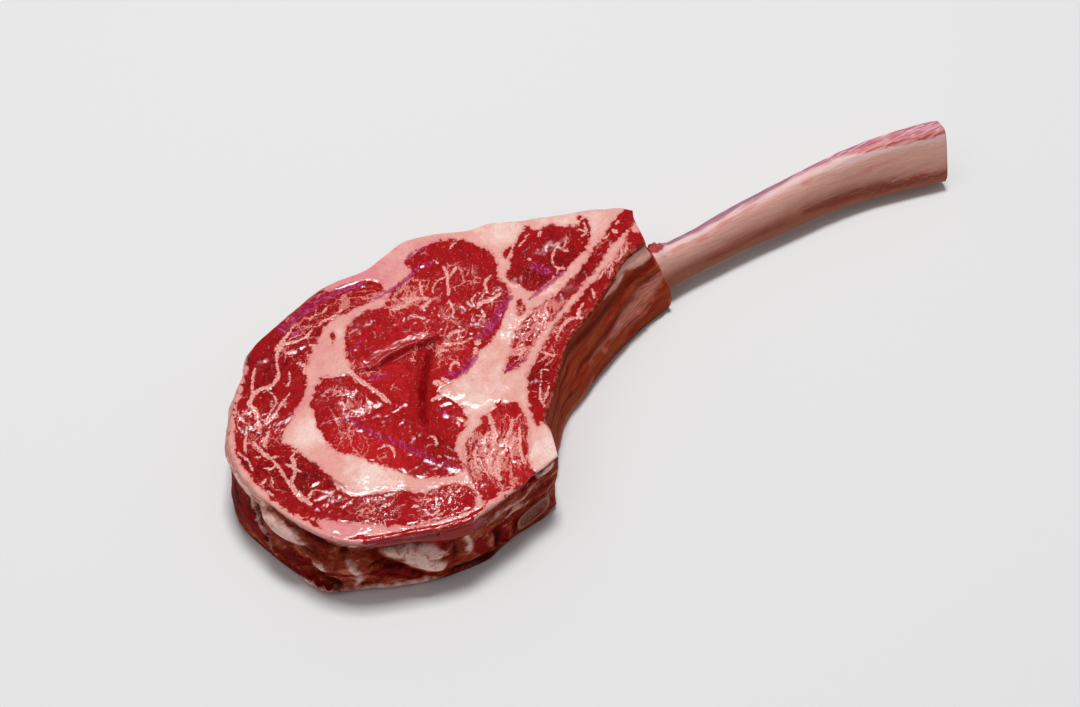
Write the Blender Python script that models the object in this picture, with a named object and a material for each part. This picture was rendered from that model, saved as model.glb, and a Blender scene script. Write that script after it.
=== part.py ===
"""Raw tomahawk steak: a thick rib-eye slice on its long, cleaned rib bone, lying on one cut face.

The muscles run through the whole thickness and are held together by the fat between and around
them. The rib runs through the meat behind its inner wall and stands out of it as a bare handle.
Metres, +Z up. +X runs along the bone, and the origin is the middle of the bounding box's base.
"""

import math

import bmesh
import bpy
import numpy as np
from mathutils import Vector

MM = 0.001
THICKNESS = 0.045
TISSUE_GAP = 0.0003
CUTTER_MARGIN = 0.010

# The plan is drawn in millimetres, looking down on the cut face. This point of it is the origin.
PLAN_CENTRE = (0.92, -4.84)

# Distance between two points of the steak's outline, of a muscle's outline, and of the relief grid.
OUTLINE_STEP = 0.0052
SEAM_STEP = 0.0048
RELIEF_STEP = 0.0052

# The rim and the foot of the side wall, in runs that go anticlockwise. Runs meet at a corner.
BACK_RIM = (
    (37, 37.5), (30, 44), (12, 50.8), (-8, 57), (-20, 61), (-32, 67), (-46, 68), (-62, 75),
    (-77, 78.5), (-90, 75), (-104, 71.3), (-118, 72.2), (-138, 69.5), (-158, 61.8), (-176, 54.2),
    (-187, 42.5), (-198.2, 29), (-207, 15), (-212, 2), (-213.3, -14), (-208, -34), (-199, -56),
    (-189, -69), (-176, -77), (-157, -83), (-143, -87.5), (-130, -89.5),
)
BACK_FOOT = (
    (38.5, 36), (29, 43), (12, 49.5), (-8, 55.5), (-20, 59.5), (-32, 65), (-46, 67), (-62, 73),
    (-77, 77), (-90, 74), (-104, 70.5), (-118, 71), (-138, 68), (-158, 60.5), (-176, 52.5),
    (-189, 41), (-202, 27), (-211, 14), (-217.4, 1), (-218.6, -12), (-214, -30), (-207.5, -48),
    (-199.5, -64.5), (-182, -72.3), (-160, -82), (-145, -86.6), (-131, -88.4),
)
CHINE_RIM = ((-130, -89.5), (-110, -86), (-90, -81.2), (-75.5, -77.3))
CHINE_FOOT = (
    (-131, -88.4), (-120, -88.8), (-112, -86), (-102.5, -83.2), (-93.5, -82.4), (-84.5, -81.3),
    (-76.8, -78),
)
CORNER_RIM = ((-75.5, -77.3), (-71.5, -63), (-72.2, -57.5))
CORNER_FOOT = ((-76.8, -78), (-72.4, -69.5), (-66.3, -60.5))
RIB_RIM = (
    (-72.2, -57.5), (-60, -46), (-48, -32.5), (-36, -20.5), (-22, -13), (-8, -5.5), (5, 3.5),
    (18, 12), (30.5, 15),
)
RIB_FOOT = (
    (-66.3, -60.5), (-57, -47), (-46.8, -35.3), (-36.4, -29.8), (-21.5, -22), (-8, -15.2),
    (8.6, -8.2), (24.4, -3), (39.7, 0.8),
)
END_RIM = ((30.5, 15), (32, 21), (33.2, 27), (34.6, 32.5), (37, 37.5))
END_FOOT = ((39.7, 0.8), (39.8, 10), (39.5, 19), (39, 28), (38.5, 36))

# Outlines of the lean muscles. Where one runs past the steak's outline, it shows at the side.
EYE_MUSCLE = (
    (-83, 65), (-75, 69), (-66, 70), (-54, 65), (-45, 55.5), (-41.5, 46), (-46.5, 33), (-46, 23),
    (-56, 10.5), (-69, 0.5), (-80, -4), (-94, -13), (-108, -16), (-103, -27), (-104, -38),
    (-115, -46), (-118, -60), (-123, -61.5), (-138, -57.5), (-149, -44), (-160, -30.5),
    (-168.5, -20), (-168, -2), (-164, 11), (-154, 20), (-141, 15.5), (-137, 26), (-131, 39),
    (-118, 46), (-107, 45), (-98, 53), (-84, 59),
)
CAP_MUSCLE = (
    (-100.5, 59), (-106, 65), (-122, 68), (-136, 73), (-160, 66), (-182, 56), (-196, 40),
    (-210, 24), (-217, 8), (-217, -6), (-212, -16), (-209, -29), (-203, -43), (-190, -55),
    (-174, -66), (-160, -76), (-142, -82), (-126, -83), (-121, -74), (-127, -66), (-143, -64),
    (-150, -58), (-163, -53), (-175, -47), (-178, -33), (-183, -15), (-187, -1), (-175, 9),
    (-163, 20), (-157, 32), (-145, 43), (-134, 50.5), (-116, 51.5), (-105, 52.5),
)
SHOULDER_MUSCLE = (
    (-42.5, 31), (-38.5, 22), (-35, 15.5), (-26, 18), (-16, 19.5), (-4, 25), (7, 31), (13.5, 46),
    (5, 43), (-5, 49.7), (-13, 50), (-17, 55.5), (-27, 48.5), (-36, 39),
)
OUTER_RIB_MEAT = (
    (43, 41), (33, 40.5), (16, 31), (2, 22.5), (-14, 13.5), (-27, 8.5), (-46, 4), (-57, -2.5),
    (-66, -13), (-74, -22.5), (-61, -19.5), (-47, -9.5), (-32, -2.5), (-16, 5.5), (-2, 12),
    (16, 23), (36, 29.5), (43, 33),
)
INNER_RIB_MEAT = (
    (36, 18), (28, 24.5), (20, 18.7), (6, 11.5), (-8, 5), (-22, -1.3), (-37, -8), (-51, -18.5),
    (-64, -29), (-71.5, -43), (-76.5, -55.5), (-70, -61), (-55, -46), (-40, -31), (-20, -18),
    (0, -7), (20, 4), (38, 8),
)
CHINE_MUSCLE = (
    (-117, -63), (-112, -50), (-99, -42.5), (-90, -38), (-82, -37.5), (-77.5, -42), (-80.5, -56),
    (-86, -67), (-91, -76), (-92, -92), (-118, -96), (-119.5, -82),
)

# The lean strip that lips over the front of the rim, and how far down it reaches.
LIP_MEAT = (
    (-187, -70.5), (-176, -73.5), (-160, -79), (-146, -83.6), (-132, -86), (-121.5, -86.2),
    (-121, -94), (-150, -95), (-180, -86),
)
LIP_DEPTH = 0.011

# The skin over the rib is everything outside this line, down the inner wall.
MEMBRANE = (
    (-71.2, -56.4), (-60.2, -43.8), (-48.3, -30.5), (-36.4, -18.6), (-22.3, -11.1), (-8.3, -3.8),
    (4.6, 5.3), (17.8, 13.8), (29, 16.2), (48, 17), (52, -14), (10, -26), (-30, -44), (-58, -66),
)

# The rib: (plan x, plan y, height of its middle, half width, half height, lean in degrees).
# It leans back, with its lower edge nearer the inner wall than its upper edge.
RIB_STATIONS = (
    (-94.5, -89, 12.2, 9.2, 6.4, 0), (-91, -80.5, 12.6, 8.8, 6.7, 0), (-86, -69, 14, 7.4, 8, 2),
    (-80.5, -56, 17, 6, 9.8, 6), (-70.5, -42, 19.2, 5.4, 11.2, 11),
    (-53.5, -25.5, 20, 5.3, 12.2, 15), (-35, -12.5, 20, 5.4, 12.8, 17), (-14, -1, 20, 5.6, 13, 17),
    (8, 7.5, 20, 5.7, 13, 17), (28, 12, 20, 5.8, 13.2, 17), (46, 13.8, 20, 5.8, 13.5, 17),
    (66, 15, 20, 5.9, 13.2, 17), (92, 16.2, 20, 6, 14, 17), (120, 16.4, 20.2, 6.1, 15, 16),
    (148, 16.5, 20.5, 6.2, 15.9, 15), (172, 14.9, 20.7, 6.3, 17, 15),
    (194, 11, 21, 6.4, 17.6, 16), (217.6, 6, 21, 6.5, 18, 17),
)
RIB_SIDES = 18
RIB_STEP = 0.0085
RIB_SQUARENESS = 3.1
RIB_END_ROUNDING = 0.0008
# The bare end is squarer, and sawn off upright by this slope, longest at its lower edge.
END_SQUARENESS = 1.4
END_SLOPE = 0.055
RIB_CLEARANCE = 0.0003
SAW_PROUD = 0.0004

# Lumps and hollows of the side wall: plan x, plan y, height, reach along, reach up, how far out.
WALL_LUMPS = (
    (30, 9, 33, 17, 9, 3.6),
    (41, 17, 34, 6, 6, 2.6),
    (-217, -12, 18, 14, 10, 1.6),
    (-176, -76, 17, 14, 9, 1.0),
    (-182, -72, 34, 22, 5, -3.0),
    (-207, -38, 33, 9, 7, 1.6),
    (-203, -58, 13, 6, 7, -2.6),
    (-190, -68, 22, 8, 6, 2.0),
    (-160, -82, 34, 16, 5, -2.6),
    (-150, -86, 20, 13, 10, 2.2),
    (-115, -86, 14, 6, 9, -1.8),
    (-76, -77, 14, 7, 9, -1.6),
    (-60, 74, 22, 45, 16, 2.2),
    (-150, 66, 20, 40, 15, 1.8),
    (-12, 57, 20, 30, 14, 2.2),
)
WALL_LEVELS = (0.0, 0.0014, 0.006, 0.012, 0.018, 0.024, 0.030, 0.036, 0.041, 0.0455, 0.050)
FOOT_ROUNDING = 0.0010

LEAN = (0.43, 0.022, 0.026)
FAT = (0.80, 0.47, 0.40)
SKIN = (0.30, 0.11, 0.07)
BONE = (0.62, 0.40, 0.33)


def plan(x, y):
    """A point of the plan, in the part's frame and in metres."""
    return Vector(((x - PLAN_CENTRE[0]) * MM, (y - PLAN_CENTRE[1]) * MM))


def spline(points, closed, parts=12):
    """A smooth curve through the points, as many short steps."""
    if closed:
        knots = [points[-1], *points, points[0], points[1]]
    else:
        before = 2 * points[0] - points[1]
        after = 2 * points[-1] - points[-2]
        knots = [before, *points, after]
    curve = []
    for p0, p1, p2, p3 in zip(knots, knots[1:], knots[2:], knots[3:], strict=False):
        for step in range(parts):
            t = step / parts
            curve.append(
                0.5
                * (
                    2 * p1
                    + (p2 - p0) * t
                    + (2 * p0 - 5 * p1 + 4 * p2 - p3) * t**2
                    + (3 * p1 - p0 - 3 * p2 + p3) * t**3
                )
            )
    return curve if closed else [*curve, points[-1]]


def travelled(curve):
    """Distance along the curve at each of its points, by the place they stand for."""
    places = np.array([tuple(p[:3]) for p in curve])
    return np.concatenate([[0.0], np.cumsum(np.linalg.norm(np.diff(places, axis=0), axis=1))])


def evenly_in(curve, count):
    """The curve cut into so many equal lengths."""
    along = travelled(curve)
    places = np.linspace(0.0, along[-1], count + 1)
    columns = np.array([tuple(p) for p in curve]).T
    return [Vector(row) for row in np.stack([np.interp(places, along, c) for c in columns], axis=1)]


def evenly(curve, step):
    """The curve again, with its points about one step apart and both ends kept."""
    return evenly_in(curve, max(2, round(travelled(curve)[-1] / step)))


def closed_outline(points, step):
    """An evenly spaced closed outline through plan points."""
    curve = spline([plan(*p) for p in points], closed=True)
    return evenly([*curve, curve[0]], step)[:-1]


def wall_outline():
    """(rim point, foot point, whether the rib lies behind it) all the way round the steak."""
    outline = []
    for rim, foot, over_rib in (
        (BACK_RIM, BACK_FOOT, False),
        (CHINE_RIM, CHINE_FOOT, False),
        (CORNER_RIM, CORNER_FOOT, False),
        (RIB_RIM, RIB_FOOT, True),
        (END_RIM, END_FOOT, True),
    ):
        rim_curve = spline([plan(*p) for p in rim], closed=False)
        foot_curve = spline([plan(*p) for p in foot], closed=False)
        count = max(2, round(travelled(rim_curve)[-1] / OUTLINE_STEP))
        rims = evenly_in(rim_curve, count)[:-1]
        feet = evenly_in(foot_curve, count)[:-1]
        outline.extend((a, b, over_rib) for a, b in zip(rims, feet, strict=True))
    return outline


def outward_normals(points):
    """The direction out of an anticlockwise outline at each of its points."""
    normals = []
    for index, point in enumerate(points):
        along = points[(index + 1) % len(points)] - points[index - 1]
        normals.append(Vector((along.y, -along.x)).normalized())
    return normals


def smoothstep(low, high, value):
    t = np.clip((value - low) / (high - low), 0.0, 1.0)
    return t * t * (3 - 2 * t)


def share_of_foot(height, over_rib):
    """How far the wall has gone from its rim to its foot: over the rib it bulges early."""
    if over_rib:
        return float(1 - smoothstep(0.010, 0.040, height))
    return float(1 - smoothstep(-0.012, 0.044, height))


def wall_relief(point, height):
    """How far a point of the side wall stands out beyond the loft from rim to foot."""
    out = -FOOT_ROUNDING * float(1 - smoothstep(0.0, 0.004, height))
    for x, y, z, along, up, amount in WALL_LUMPS:
        distance = (point - plan(x, y)).length / (along * MM)
        rise = (height - z * MM) / (up * MM)
        out += amount * MM * math.exp(-distance**2 - rise**2)
    return out


def new_mesh(name, verts, faces):
    mesh = bpy.data.meshes.new(name)
    mesh.from_pydata([tuple(v) for v in verts], [], faces)
    mesh.update()
    return mesh


def linked(name, mesh, collection):
    obj = bpy.data.objects.new(name, mesh)
    collection.objects.link(obj)
    return obj


def lofted(name, rings):
    """A closed mesh through rings of equally many points, capped at both ends."""
    count = len(rings[0])
    verts = [p for ring in rings for p in ring]
    faces = [tuple(reversed(range(count)))]
    for level in range(len(rings) - 1):
        low, high = level * count, (level + 1) * count
        for k in range(count):
            after = (k + 1) % count
            faces.append((low + k, low + after, high + after, high + k))
    faces.append(tuple(range(len(verts) - count, len(verts))))
    return new_mesh(name, verts, faces)


def steak_wall(collection):
    """The steak's side wall as a solid, taller than the steak: its top is cut to the relief."""
    outline = wall_outline()
    normals = outward_normals([rim for rim, _, _ in outline])
    rings = []
    for height in WALL_LEVELS:
        ring = []
        for (rim, foot, over_rib), normal in zip(outline, normals, strict=True):
            placed = rim.lerp(foot, share_of_foot(height, over_rib))
            placed += normal * wall_relief(placed, height)
            ring.append((placed.x, placed.y, height))
        rings.append(ring)
    return linked("steak_wall", lofted("steak_wall", rings), collection)


def distance_to_path(x, y, path):
    """Distance of grid points from a path of plan points."""
    nearest = np.full(x.shape, np.inf)
    corners = [plan(*p) for p in path]
    for a, b in zip(corners, corners[1:], strict=False):
        way = b - a
        t = ((x - a.x) * way.x + (y - a.y) * way.y) / way.length_squared
        t = np.clip(t, 0.0, 1.0)
        nearest = np.minimum(nearest, np.hypot(x - a.x - t * way.x, y - a.y - t * way.y))
    return nearest


# The eye's raised lobe ends in a step at this plan y, and a slit runs down from it.
LOBE_MIDDLE = (-113, 30)
LOBE_EDGE = 13
LOBE_RISE = 0.0026
SLIT = ((-99, 10), (-106, 1), (-114, -10), (-122, -26))
SLIT_DEPTH = 0.0042
SLIT_REACH = 0.004
# Pockets of fat that stand a little proud: plan x, plan y, reach.
FAT_POCKETS = ((-174, -8, 11), (-162, -42, 14), (-88, -24, 16))
FAT_POCKET_RISE = 0.0011


def relief(x, y):
    """Height of the upper cut face above or below its mean plane."""
    height = 0.0007 * np.sin(x / 0.021 + 1.1) * np.cos(y / 0.017 - 0.4)
    height += 0.0005 * np.sin(x / 0.0094 - y / 0.013)
    height += 0.0004 * np.cos(y / 0.0071 + x / 0.019)
    middle = plan(*LOBE_MIDDLE)
    over_step = smoothstep(-0.001, 0.003, y - plan(0, LOBE_EDGE).y)
    lobe = np.exp(-(((x - middle.x) / 0.026) ** 4) - ((y - middle.y) / 0.022) ** 4)
    height += LOBE_RISE * over_step * lobe
    height -= SLIT_DEPTH * np.exp(-((distance_to_path(x, y, SLIT) / SLIT_REACH) ** 2))
    for px, py, reach in FAT_POCKETS:
        middle = plan(px, py)
        near = ((x - middle.x) ** 2 + (y - middle.y) ** 2) / (reach * MM) ** 2
        height += FAT_POCKET_RISE * np.exp(-near)
    return height


def relief_slab(collection):
    """A slab whose top is the upper cut face and whose base is well under the steak."""
    low, high = plan(-232, -105), plan(56, 95)
    size = high - low
    bpy.ops.mesh.primitive_grid_add(
        x_subdivisions=round(size.x / RELIEF_STEP),
        y_subdivisions=round(size.y / RELIEF_STEP),
        size=1.0,
    )
    slab = bpy.context.object
    slab.name = "relief_slab"
    for other in slab.users_collection:
        other.objects.unlink(slab)
    collection.objects.link(slab)
    bm = bmesh.new()
    bm.from_mesh(slab.data)
    for vert in bm.verts:
        vert.co.x = (vert.co.x + 0.5) * size.x + low.x
        vert.co.y = (vert.co.y + 0.5) * size.y + low.y
    base = bmesh.ops.extrude_face_region(bm, geom=bm.faces[:])
    lower = {v for v in base["geom"] if isinstance(v, bmesh.types.BMVert)}
    for vert in bm.verts:
        if vert in lower:
            vert.co.z = -CUTTER_MARGIN
        else:
            vert.co.z = THICKNESS + float(relief(np.array(vert.co.x), np.array(vert.co.y)))
    bmesh.ops.recalc_face_normals(bm, faces=bm.faces)
    bm.to_mesh(slab.data)
    bm.free()
    return slab


def rib_rings(grow=0.0, end_on=0.0):
    """Rings of the rib's outside, each across its centreline, grown by a clearance."""
    line = [
        Vector((*plan(x, y), *(value * MM for value in (z, w, h)), math.radians(lean)))
        for x, y, z, w, h, lean in RIB_STATIONS
    ]
    stations = evenly(spline(line, closed=False), RIB_STEP)
    rings = []
    for index, station in enumerate(stations):
        before = stations[max(index - 1, 0)]
        after = stations[min(index + 1, len(stations) - 1)]
        way = Vector((after[0] - before[0], after[1] - before[1], 0)).normalized()
        near_end = smoothstep(0.75, 1.0, index / (len(stations) - 1))
        middle = Vector(station[:3])
        if index == len(stations) - 1:
            middle += way * end_on
        ring = rib_ring(middle, way, station, grow, RIB_SQUARENESS + END_SQUARENESS * near_end)
        rings.append([p - way * (p.z - middle.z) * END_SLOPE * near_end for p in ring])
    return rings


def rib_ring(middle, way, station, grow, squareness):
    """One cross-section of the rib: an oval with flattened sides, leaning back."""
    half_width, half_height, lean = station[3] + grow, station[4] + grow, station[5]
    across = Vector((-way.y, way.x, 0))
    side_way = across * math.cos(lean) - Vector((0, 0, math.sin(lean)))
    up_way = across * math.sin(lean) + Vector((0, 0, math.cos(lean)))
    power = 2 / squareness
    ring = []
    for k in range(RIB_SIDES):
        angle = 2 * math.pi * k / RIB_SIDES
        c, s = math.cos(angle), math.sin(angle)
        side = math.copysign(abs(c) ** power, c) * half_width
        up = math.copysign(abs(s) ** power, s) * half_height
        ring.append(middle + side_way * side + up_way * up)
    return ring


def rib_bone(parts, cutters):
    """The rib, sawn square at its bare end and flush with the steak at its head."""
    rings = rib_rings()
    last, before = rings[-1], rings[-2]
    middle = sum(last, Vector()) / len(last)
    way = (middle - sum(before, Vector()) / len(before)).normalized()
    shrink = 1 - RIB_END_ROUNDING / (RIB_STATIONS[-1][3] * MM)
    rings.append([middle + (p - middle) * shrink + way * RIB_END_ROUNDING for p in last])
    bone = linked("rib_bone", lofted("rib_bone", rings), parts)
    boolean(bone, "DIFFERENCE", saw_block(cutters))
    return bone


def saw_block(collection):
    """Everything in front of the chine face, which the saw cut straight."""
    start, end = plan(*CHINE_RIM[0]), plan(*CHINE_RIM[-1])
    along = (end - start).normalized()
    out = Vector((along.y, -along.x))
    start, end = start - along * 0.02, end + along * 0.03
    near = [start + out * SAW_PROUD, end + out * SAW_PROUD]
    far = [near[1] + out * 0.04, near[0] + out * 0.04]
    ring = [near[0], *reversed(far), near[1]]
    levels = [[(p.x, p.y, height) for p in ring] for height in (-0.02, THICKNESS + 0.02)]
    return linked("saw_block", lofted("saw_block", levels), collection)


def prism(name, outline_points, grow, collection, foot=-CUTTER_MARGIN):
    """An outline as a flat curve, extruded from its foot to well past the upper face."""
    outline = closed_outline(outline_points, SEAM_STEP)
    area = sum(
        a.x * b.y - b.x * a.y for a, b in zip(outline, outline[1:] + outline[:1], strict=True)
    )
    if area < 0:
        outline.reverse()
    normals = outward_normals(outline)
    curve = bpy.data.curves.new(name, "CURVE")
    curve.dimensions = "2D"
    curve.fill_mode = "BOTH"
    top = THICKNESS + CUTTER_MARGIN
    curve.extrude = (top - foot) / 2
    path = curve.splines.new("POLY")
    path.points.add(len(outline) - 1)
    for target, point, normal in zip(path.points, outline, normals, strict=True):
        moved = point + normal * grow
        target.co = (moved.x, moved.y, 0, 1)
    path.use_cyclic_u = True
    flat = linked(name + "_curve", curve, collection)
    flat.location.z = (top + foot) / 2
    bpy.context.view_layer.update()
    evaluated = flat.evaluated_get(bpy.context.evaluated_depsgraph_get())
    mesh = bpy.data.meshes.new_from_object(evaluated)
    mesh.transform(flat.matrix_world)
    bm = bmesh.new()
    bm.from_mesh(mesh)
    bmesh.ops.remove_doubles(bm, verts=bm.verts, dist=1e-6)
    bmesh.ops.recalc_face_normals(bm, faces=bm.faces)
    bm.to_mesh(mesh)
    bm.free()
    bpy.data.objects.remove(flat)
    return linked(name, mesh, collection)


def boolean(obj, operation, other):
    modifier = obj.modifiers.new(operation.lower(), "BOOLEAN")
    modifier.operation = operation
    modifier.object = other
    modifier.solver = "EXACT"
    return modifier


def applied(obj):
    """The object's mesh with its modifiers applied."""
    bpy.context.view_layer.update()
    evaluated = obj.evaluated_get(bpy.context.evaluated_depsgraph_get())
    mesh = bpy.data.meshes.new_from_object(evaluated)
    obj.modifiers.clear()
    obj.data = mesh


def material(name, colour, roughness):
    made = bpy.data.materials.new(name)
    made.use_nodes = True
    shader = made.node_tree.nodes["Principled BSDF"]
    shader.inputs["Base Color"].default_value = (*colour, 1)
    shader.inputs["Roughness"].default_value = roughness
    shader.inputs["Metallic"].default_value = 0.0
    return made


def main():
    for obj in list(bpy.data.objects):
        bpy.data.objects.remove(obj)
    scene = bpy.context.scene
    parts = bpy.data.collections.new("tomahawk_steak")
    cutters = bpy.data.collections.new("cutters")
    scene.collection.children.link(parts)
    scene.collection.children.link(cutters)

    body = steak_wall(cutters)
    boolean(body, "INTERSECT", relief_slab(cutters))
    applied(body)
    channel_rings = rib_rings(RIB_CLEARANCE, end_on=0.004)
    boolean(body, "DIFFERENCE", linked("channel", lofted("channel", channel_rings), cutters))
    applied(body)

    lean = material("lean_meat", LEAN, 0.35)
    skin = material("rib_membrane", SKIN, 0.4)
    through, lip_foot = -CUTTER_MARGIN, THICKNESS - LIP_DEPTH
    layers = (
        ("eye_muscle", EYE_MUSCLE, lean, through),
        ("cap_muscle", CAP_MUSCLE, lean, through),
        ("shoulder_muscle", SHOULDER_MUSCLE, lean, through),
        ("outer_rib_meat", OUTER_RIB_MEAT, lean, through),
        ("inner_rib_meat", INNER_RIB_MEAT, lean, through),
        ("chine_muscle", CHINE_MUSCLE, lean, through),
        ("lip_meat", LIP_MEAT, lean, lip_foot),
        ("rib_membrane", MEMBRANE, skin, through),
    )
    half_gap = TISSUE_GAP / 2
    pockets = {
        name: prism(name + "_pocket", outline, half_gap, cutters, foot - half_gap)
        for name, outline, _, foot in layers
    }
    for name, outline, surface, foot in layers:
        layer = linked(name, body.data.copy(), parts)
        boolean(layer, "INTERSECT", prism(name + "_prism", outline, -half_gap, cutters, foot))
        if name == "inner_rib_meat":
            boolean(layer, "DIFFERENCE", pockets["rib_membrane"])
        layer.data.materials.append(surface)

    fat = linked("seam_fat", body.data.copy(), parts)
    for pocket in pockets.values():
        boolean(fat, "DIFFERENCE", pocket)
    fat.data.materials.append(material("fat", FAT, 0.45))

    bone = rib_bone(parts, cutters)
    bone.data.materials.append(material("bone", BONE, 0.5))

    for obj in cutters.objects:
        obj.hide_render = True
        obj.display_type = "WIRE"


main()
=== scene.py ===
"""The looks of a raw tomahawk steak: wet marbled muscles in pale fat round a long bare rib.

Every piece is closed, stands where its CAD node is and takes its form from the same outlines.
Distances to the edges of fat, veins and silver skin are kept on the points of the mesh, in
millimetres, and the materials cut their colours crisply from them.
"""

import itertools
import math

import bpy
import numpy as np
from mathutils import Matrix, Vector
from mathutils.geometry import delaunay_2d_cdt


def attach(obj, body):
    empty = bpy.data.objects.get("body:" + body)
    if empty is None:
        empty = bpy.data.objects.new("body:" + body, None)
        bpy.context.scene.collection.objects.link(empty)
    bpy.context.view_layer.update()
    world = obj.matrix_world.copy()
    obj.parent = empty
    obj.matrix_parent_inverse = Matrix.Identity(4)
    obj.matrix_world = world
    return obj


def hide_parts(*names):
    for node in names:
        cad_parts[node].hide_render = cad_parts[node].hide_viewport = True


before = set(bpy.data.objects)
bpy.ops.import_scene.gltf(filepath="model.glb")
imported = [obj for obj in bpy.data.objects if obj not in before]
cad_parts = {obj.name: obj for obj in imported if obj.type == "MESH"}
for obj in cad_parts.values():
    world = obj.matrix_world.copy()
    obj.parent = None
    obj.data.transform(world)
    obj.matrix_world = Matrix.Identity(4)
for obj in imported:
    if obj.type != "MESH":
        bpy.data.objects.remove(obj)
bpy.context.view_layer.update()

MM = 0.001
THICKNESS = 45.0
# The plan is drawn in millimetres, looking down on the cut face. This point of it is the origin.
PLAN_CENTRE = np.array((0.92, -4.84))

# Spacing of points, in millimetres: cut face, lower face, along the rim, up the wall, on the bone.
FACE_STEP = 0.62
BASE_STEP = 1.7
RING_STEP = 0.78
WALL_STEP = 0.85
BONE_STEP = 1.0
BONE_SIDES = 110
# Spacing on outlines that only colours, the lower face or the grain are read from.
OUTLINE_STEP = 2.5
LOW_OUTLINE_STEP = 1.5
ROUGH_OUTLINE_STEP = 4
# Distances from outlines and from strokes are kept up to here.
DEPTH_LIMIT = 12.0
STROKE_FAR = 6.0
POSTS_AT_A_TIME = 400

# The rim and the foot of the side wall, in runs that go anticlockwise. Runs meet at a corner.
BACK_RIM = (
    (37, 37.5), (30, 44), (12, 50.8), (-8, 57), (-20, 61), (-32, 67), (-46, 68), (-62, 75),
    (-77, 78.5), (-90, 75), (-104, 71.3), (-118, 72.2), (-138, 69.5), (-158, 61.8), (-176, 54.2),
    (-187, 42.5), (-198.2, 29), (-207, 15), (-212, 2), (-213.3, -14), (-208, -34), (-199, -56),
    (-189, -69), (-176, -77), (-157, -83), (-143, -87.5), (-130, -89.5),
)
BACK_FOOT = (
    (38.5, 36), (29, 43), (12, 49.5), (-8, 55.5), (-20, 59.5), (-32, 65), (-46, 67), (-62, 73),
    (-77, 77), (-90, 74), (-104, 70.5), (-118, 71), (-138, 68), (-158, 60.5), (-176, 52.5),
    (-189, 41), (-202, 27), (-211, 14), (-217.4, 1), (-218.6, -12), (-214, -30), (-207.5, -48),
    (-199.5, -64.5), (-182, -72.3), (-160, -82), (-145, -86.6), (-131, -88.4),
)
CHINE_RIM = ((-130, -89.5), (-110, -86), (-90, -81.2), (-75.5, -77.3))
CHINE_FOOT = (
    (-131, -88.4), (-120, -88.8), (-112, -86), (-102.5, -83.2), (-93.5, -82.4), (-84.5, -81.3),
    (-76.8, -78),
)
CORNER_RIM = ((-75.5, -77.3), (-71.5, -63), (-72.2, -57.5))
CORNER_FOOT = ((-76.8, -78), (-72.4, -69.5), (-66.3, -60.5))
RIB_RIM = (
    (-72.2, -57.5), (-60, -46), (-48, -32.5), (-36, -20.5), (-22, -13), (-8, -5.5), (5, 3.5),
    (18, 12), (30.5, 15),
)
RIB_FOOT = (
    (-66.3, -60.5), (-57, -47), (-46.8, -35.3), (-36.4, -29.8), (-21.5, -22), (-8, -15.2),
    (8.6, -8.2), (24.4, -3), (39.7, 0.8),
)
END_RIM = ((30.5, 15), (32, 21), (33.2, 27), (34.6, 32.5), (37, 37.5))
END_FOOT = ((39.7, 0.8), (39.8, 10), (39.5, 19), (39, 28), (38.5, 36))

# Outlines of the lean muscles. Where one runs past the steak's outline, it shows at the side.
EYE_MUSCLE = (
    (-83, 65), (-75, 69), (-66, 70), (-54, 65), (-45, 55.5), (-41.5, 46), (-46.5, 33), (-46, 23),
    (-56, 10.5), (-69, 0.5), (-80, -4), (-94, -13), (-108, -16), (-103, -27), (-104, -38),
    (-115, -46), (-118, -60), (-123, -61.5), (-138, -57.5), (-149, -44), (-160, -30.5),
    (-168.5, -20), (-168, -2), (-164, 11), (-154, 20), (-141, 15.5), (-137, 26), (-131, 39),
    (-118, 46), (-107, 45), (-98, 53), (-84, 59),
)
CAP_MUSCLE = (
    (-100.5, 59), (-106, 65), (-122, 68), (-136, 73), (-160, 66), (-182, 56), (-196, 40),
    (-210, 24), (-217, 8), (-217, -6), (-212, -16), (-209, -29), (-203, -43), (-190, -55),
    (-174, -66), (-160, -76), (-142, -82), (-126, -83), (-121, -74), (-127, -66), (-143, -64),
    (-150, -58), (-163, -53), (-175, -47), (-178, -33), (-183, -15), (-187, -1), (-175, 9),
    (-163, 20), (-157, 32), (-145, 43), (-134, 50.5), (-116, 51.5), (-105, 52.5),
)
SHOULDER_MUSCLE = (
    (-42.5, 31), (-38.5, 22), (-35, 15.5), (-26, 18), (-16, 19.5), (-4, 25), (7, 31), (13.5, 46),
    (5, 43), (-5, 49.7), (-13, 50), (-17, 55.5), (-27, 48.5), (-36, 39),
)
OUTER_RIB_MEAT = (
    (43, 41), (33, 40.5), (16, 31), (2, 22.5), (-14, 13.5), (-27, 8.5), (-46, 4), (-57, -2.5),
    (-66, -13), (-74, -22.5), (-61, -19.5), (-47, -9.5), (-32, -2.5), (-16, 5.5), (-2, 12),
    (16, 23), (36, 29.5), (43, 33),
)
INNER_RIB_MEAT = (
    (36, 18), (28, 24.5), (20, 18.7), (6, 11.5), (-8, 5), (-22, -1.3), (-37, -8), (-51, -18.5),
    (-64, -29), (-71.5, -43), (-76.5, -55.5), (-70, -61), (-55, -46), (-40, -31), (-20, -18),
    (0, -7), (20, 4), (38, 8),
)
CHINE_MUSCLE = (
    (-117, -63), (-112, -50), (-99, -42.5), (-90, -38), (-82, -37.5), (-77.5, -42), (-80.5, -56),
    (-86, -67), (-91, -76), (-92, -92), (-118, -96), (-119.5, -82),
)
LIP_MEAT = (
    (-187, -70.5), (-176, -73.5), (-160, -79), (-146, -83.6), (-132, -86), (-121.5, -86.2),
    (-121, -94), (-150, -95), (-180, -86),
)
LIP_DEPTH = 11.0
LIP_ROWS = 14
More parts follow.
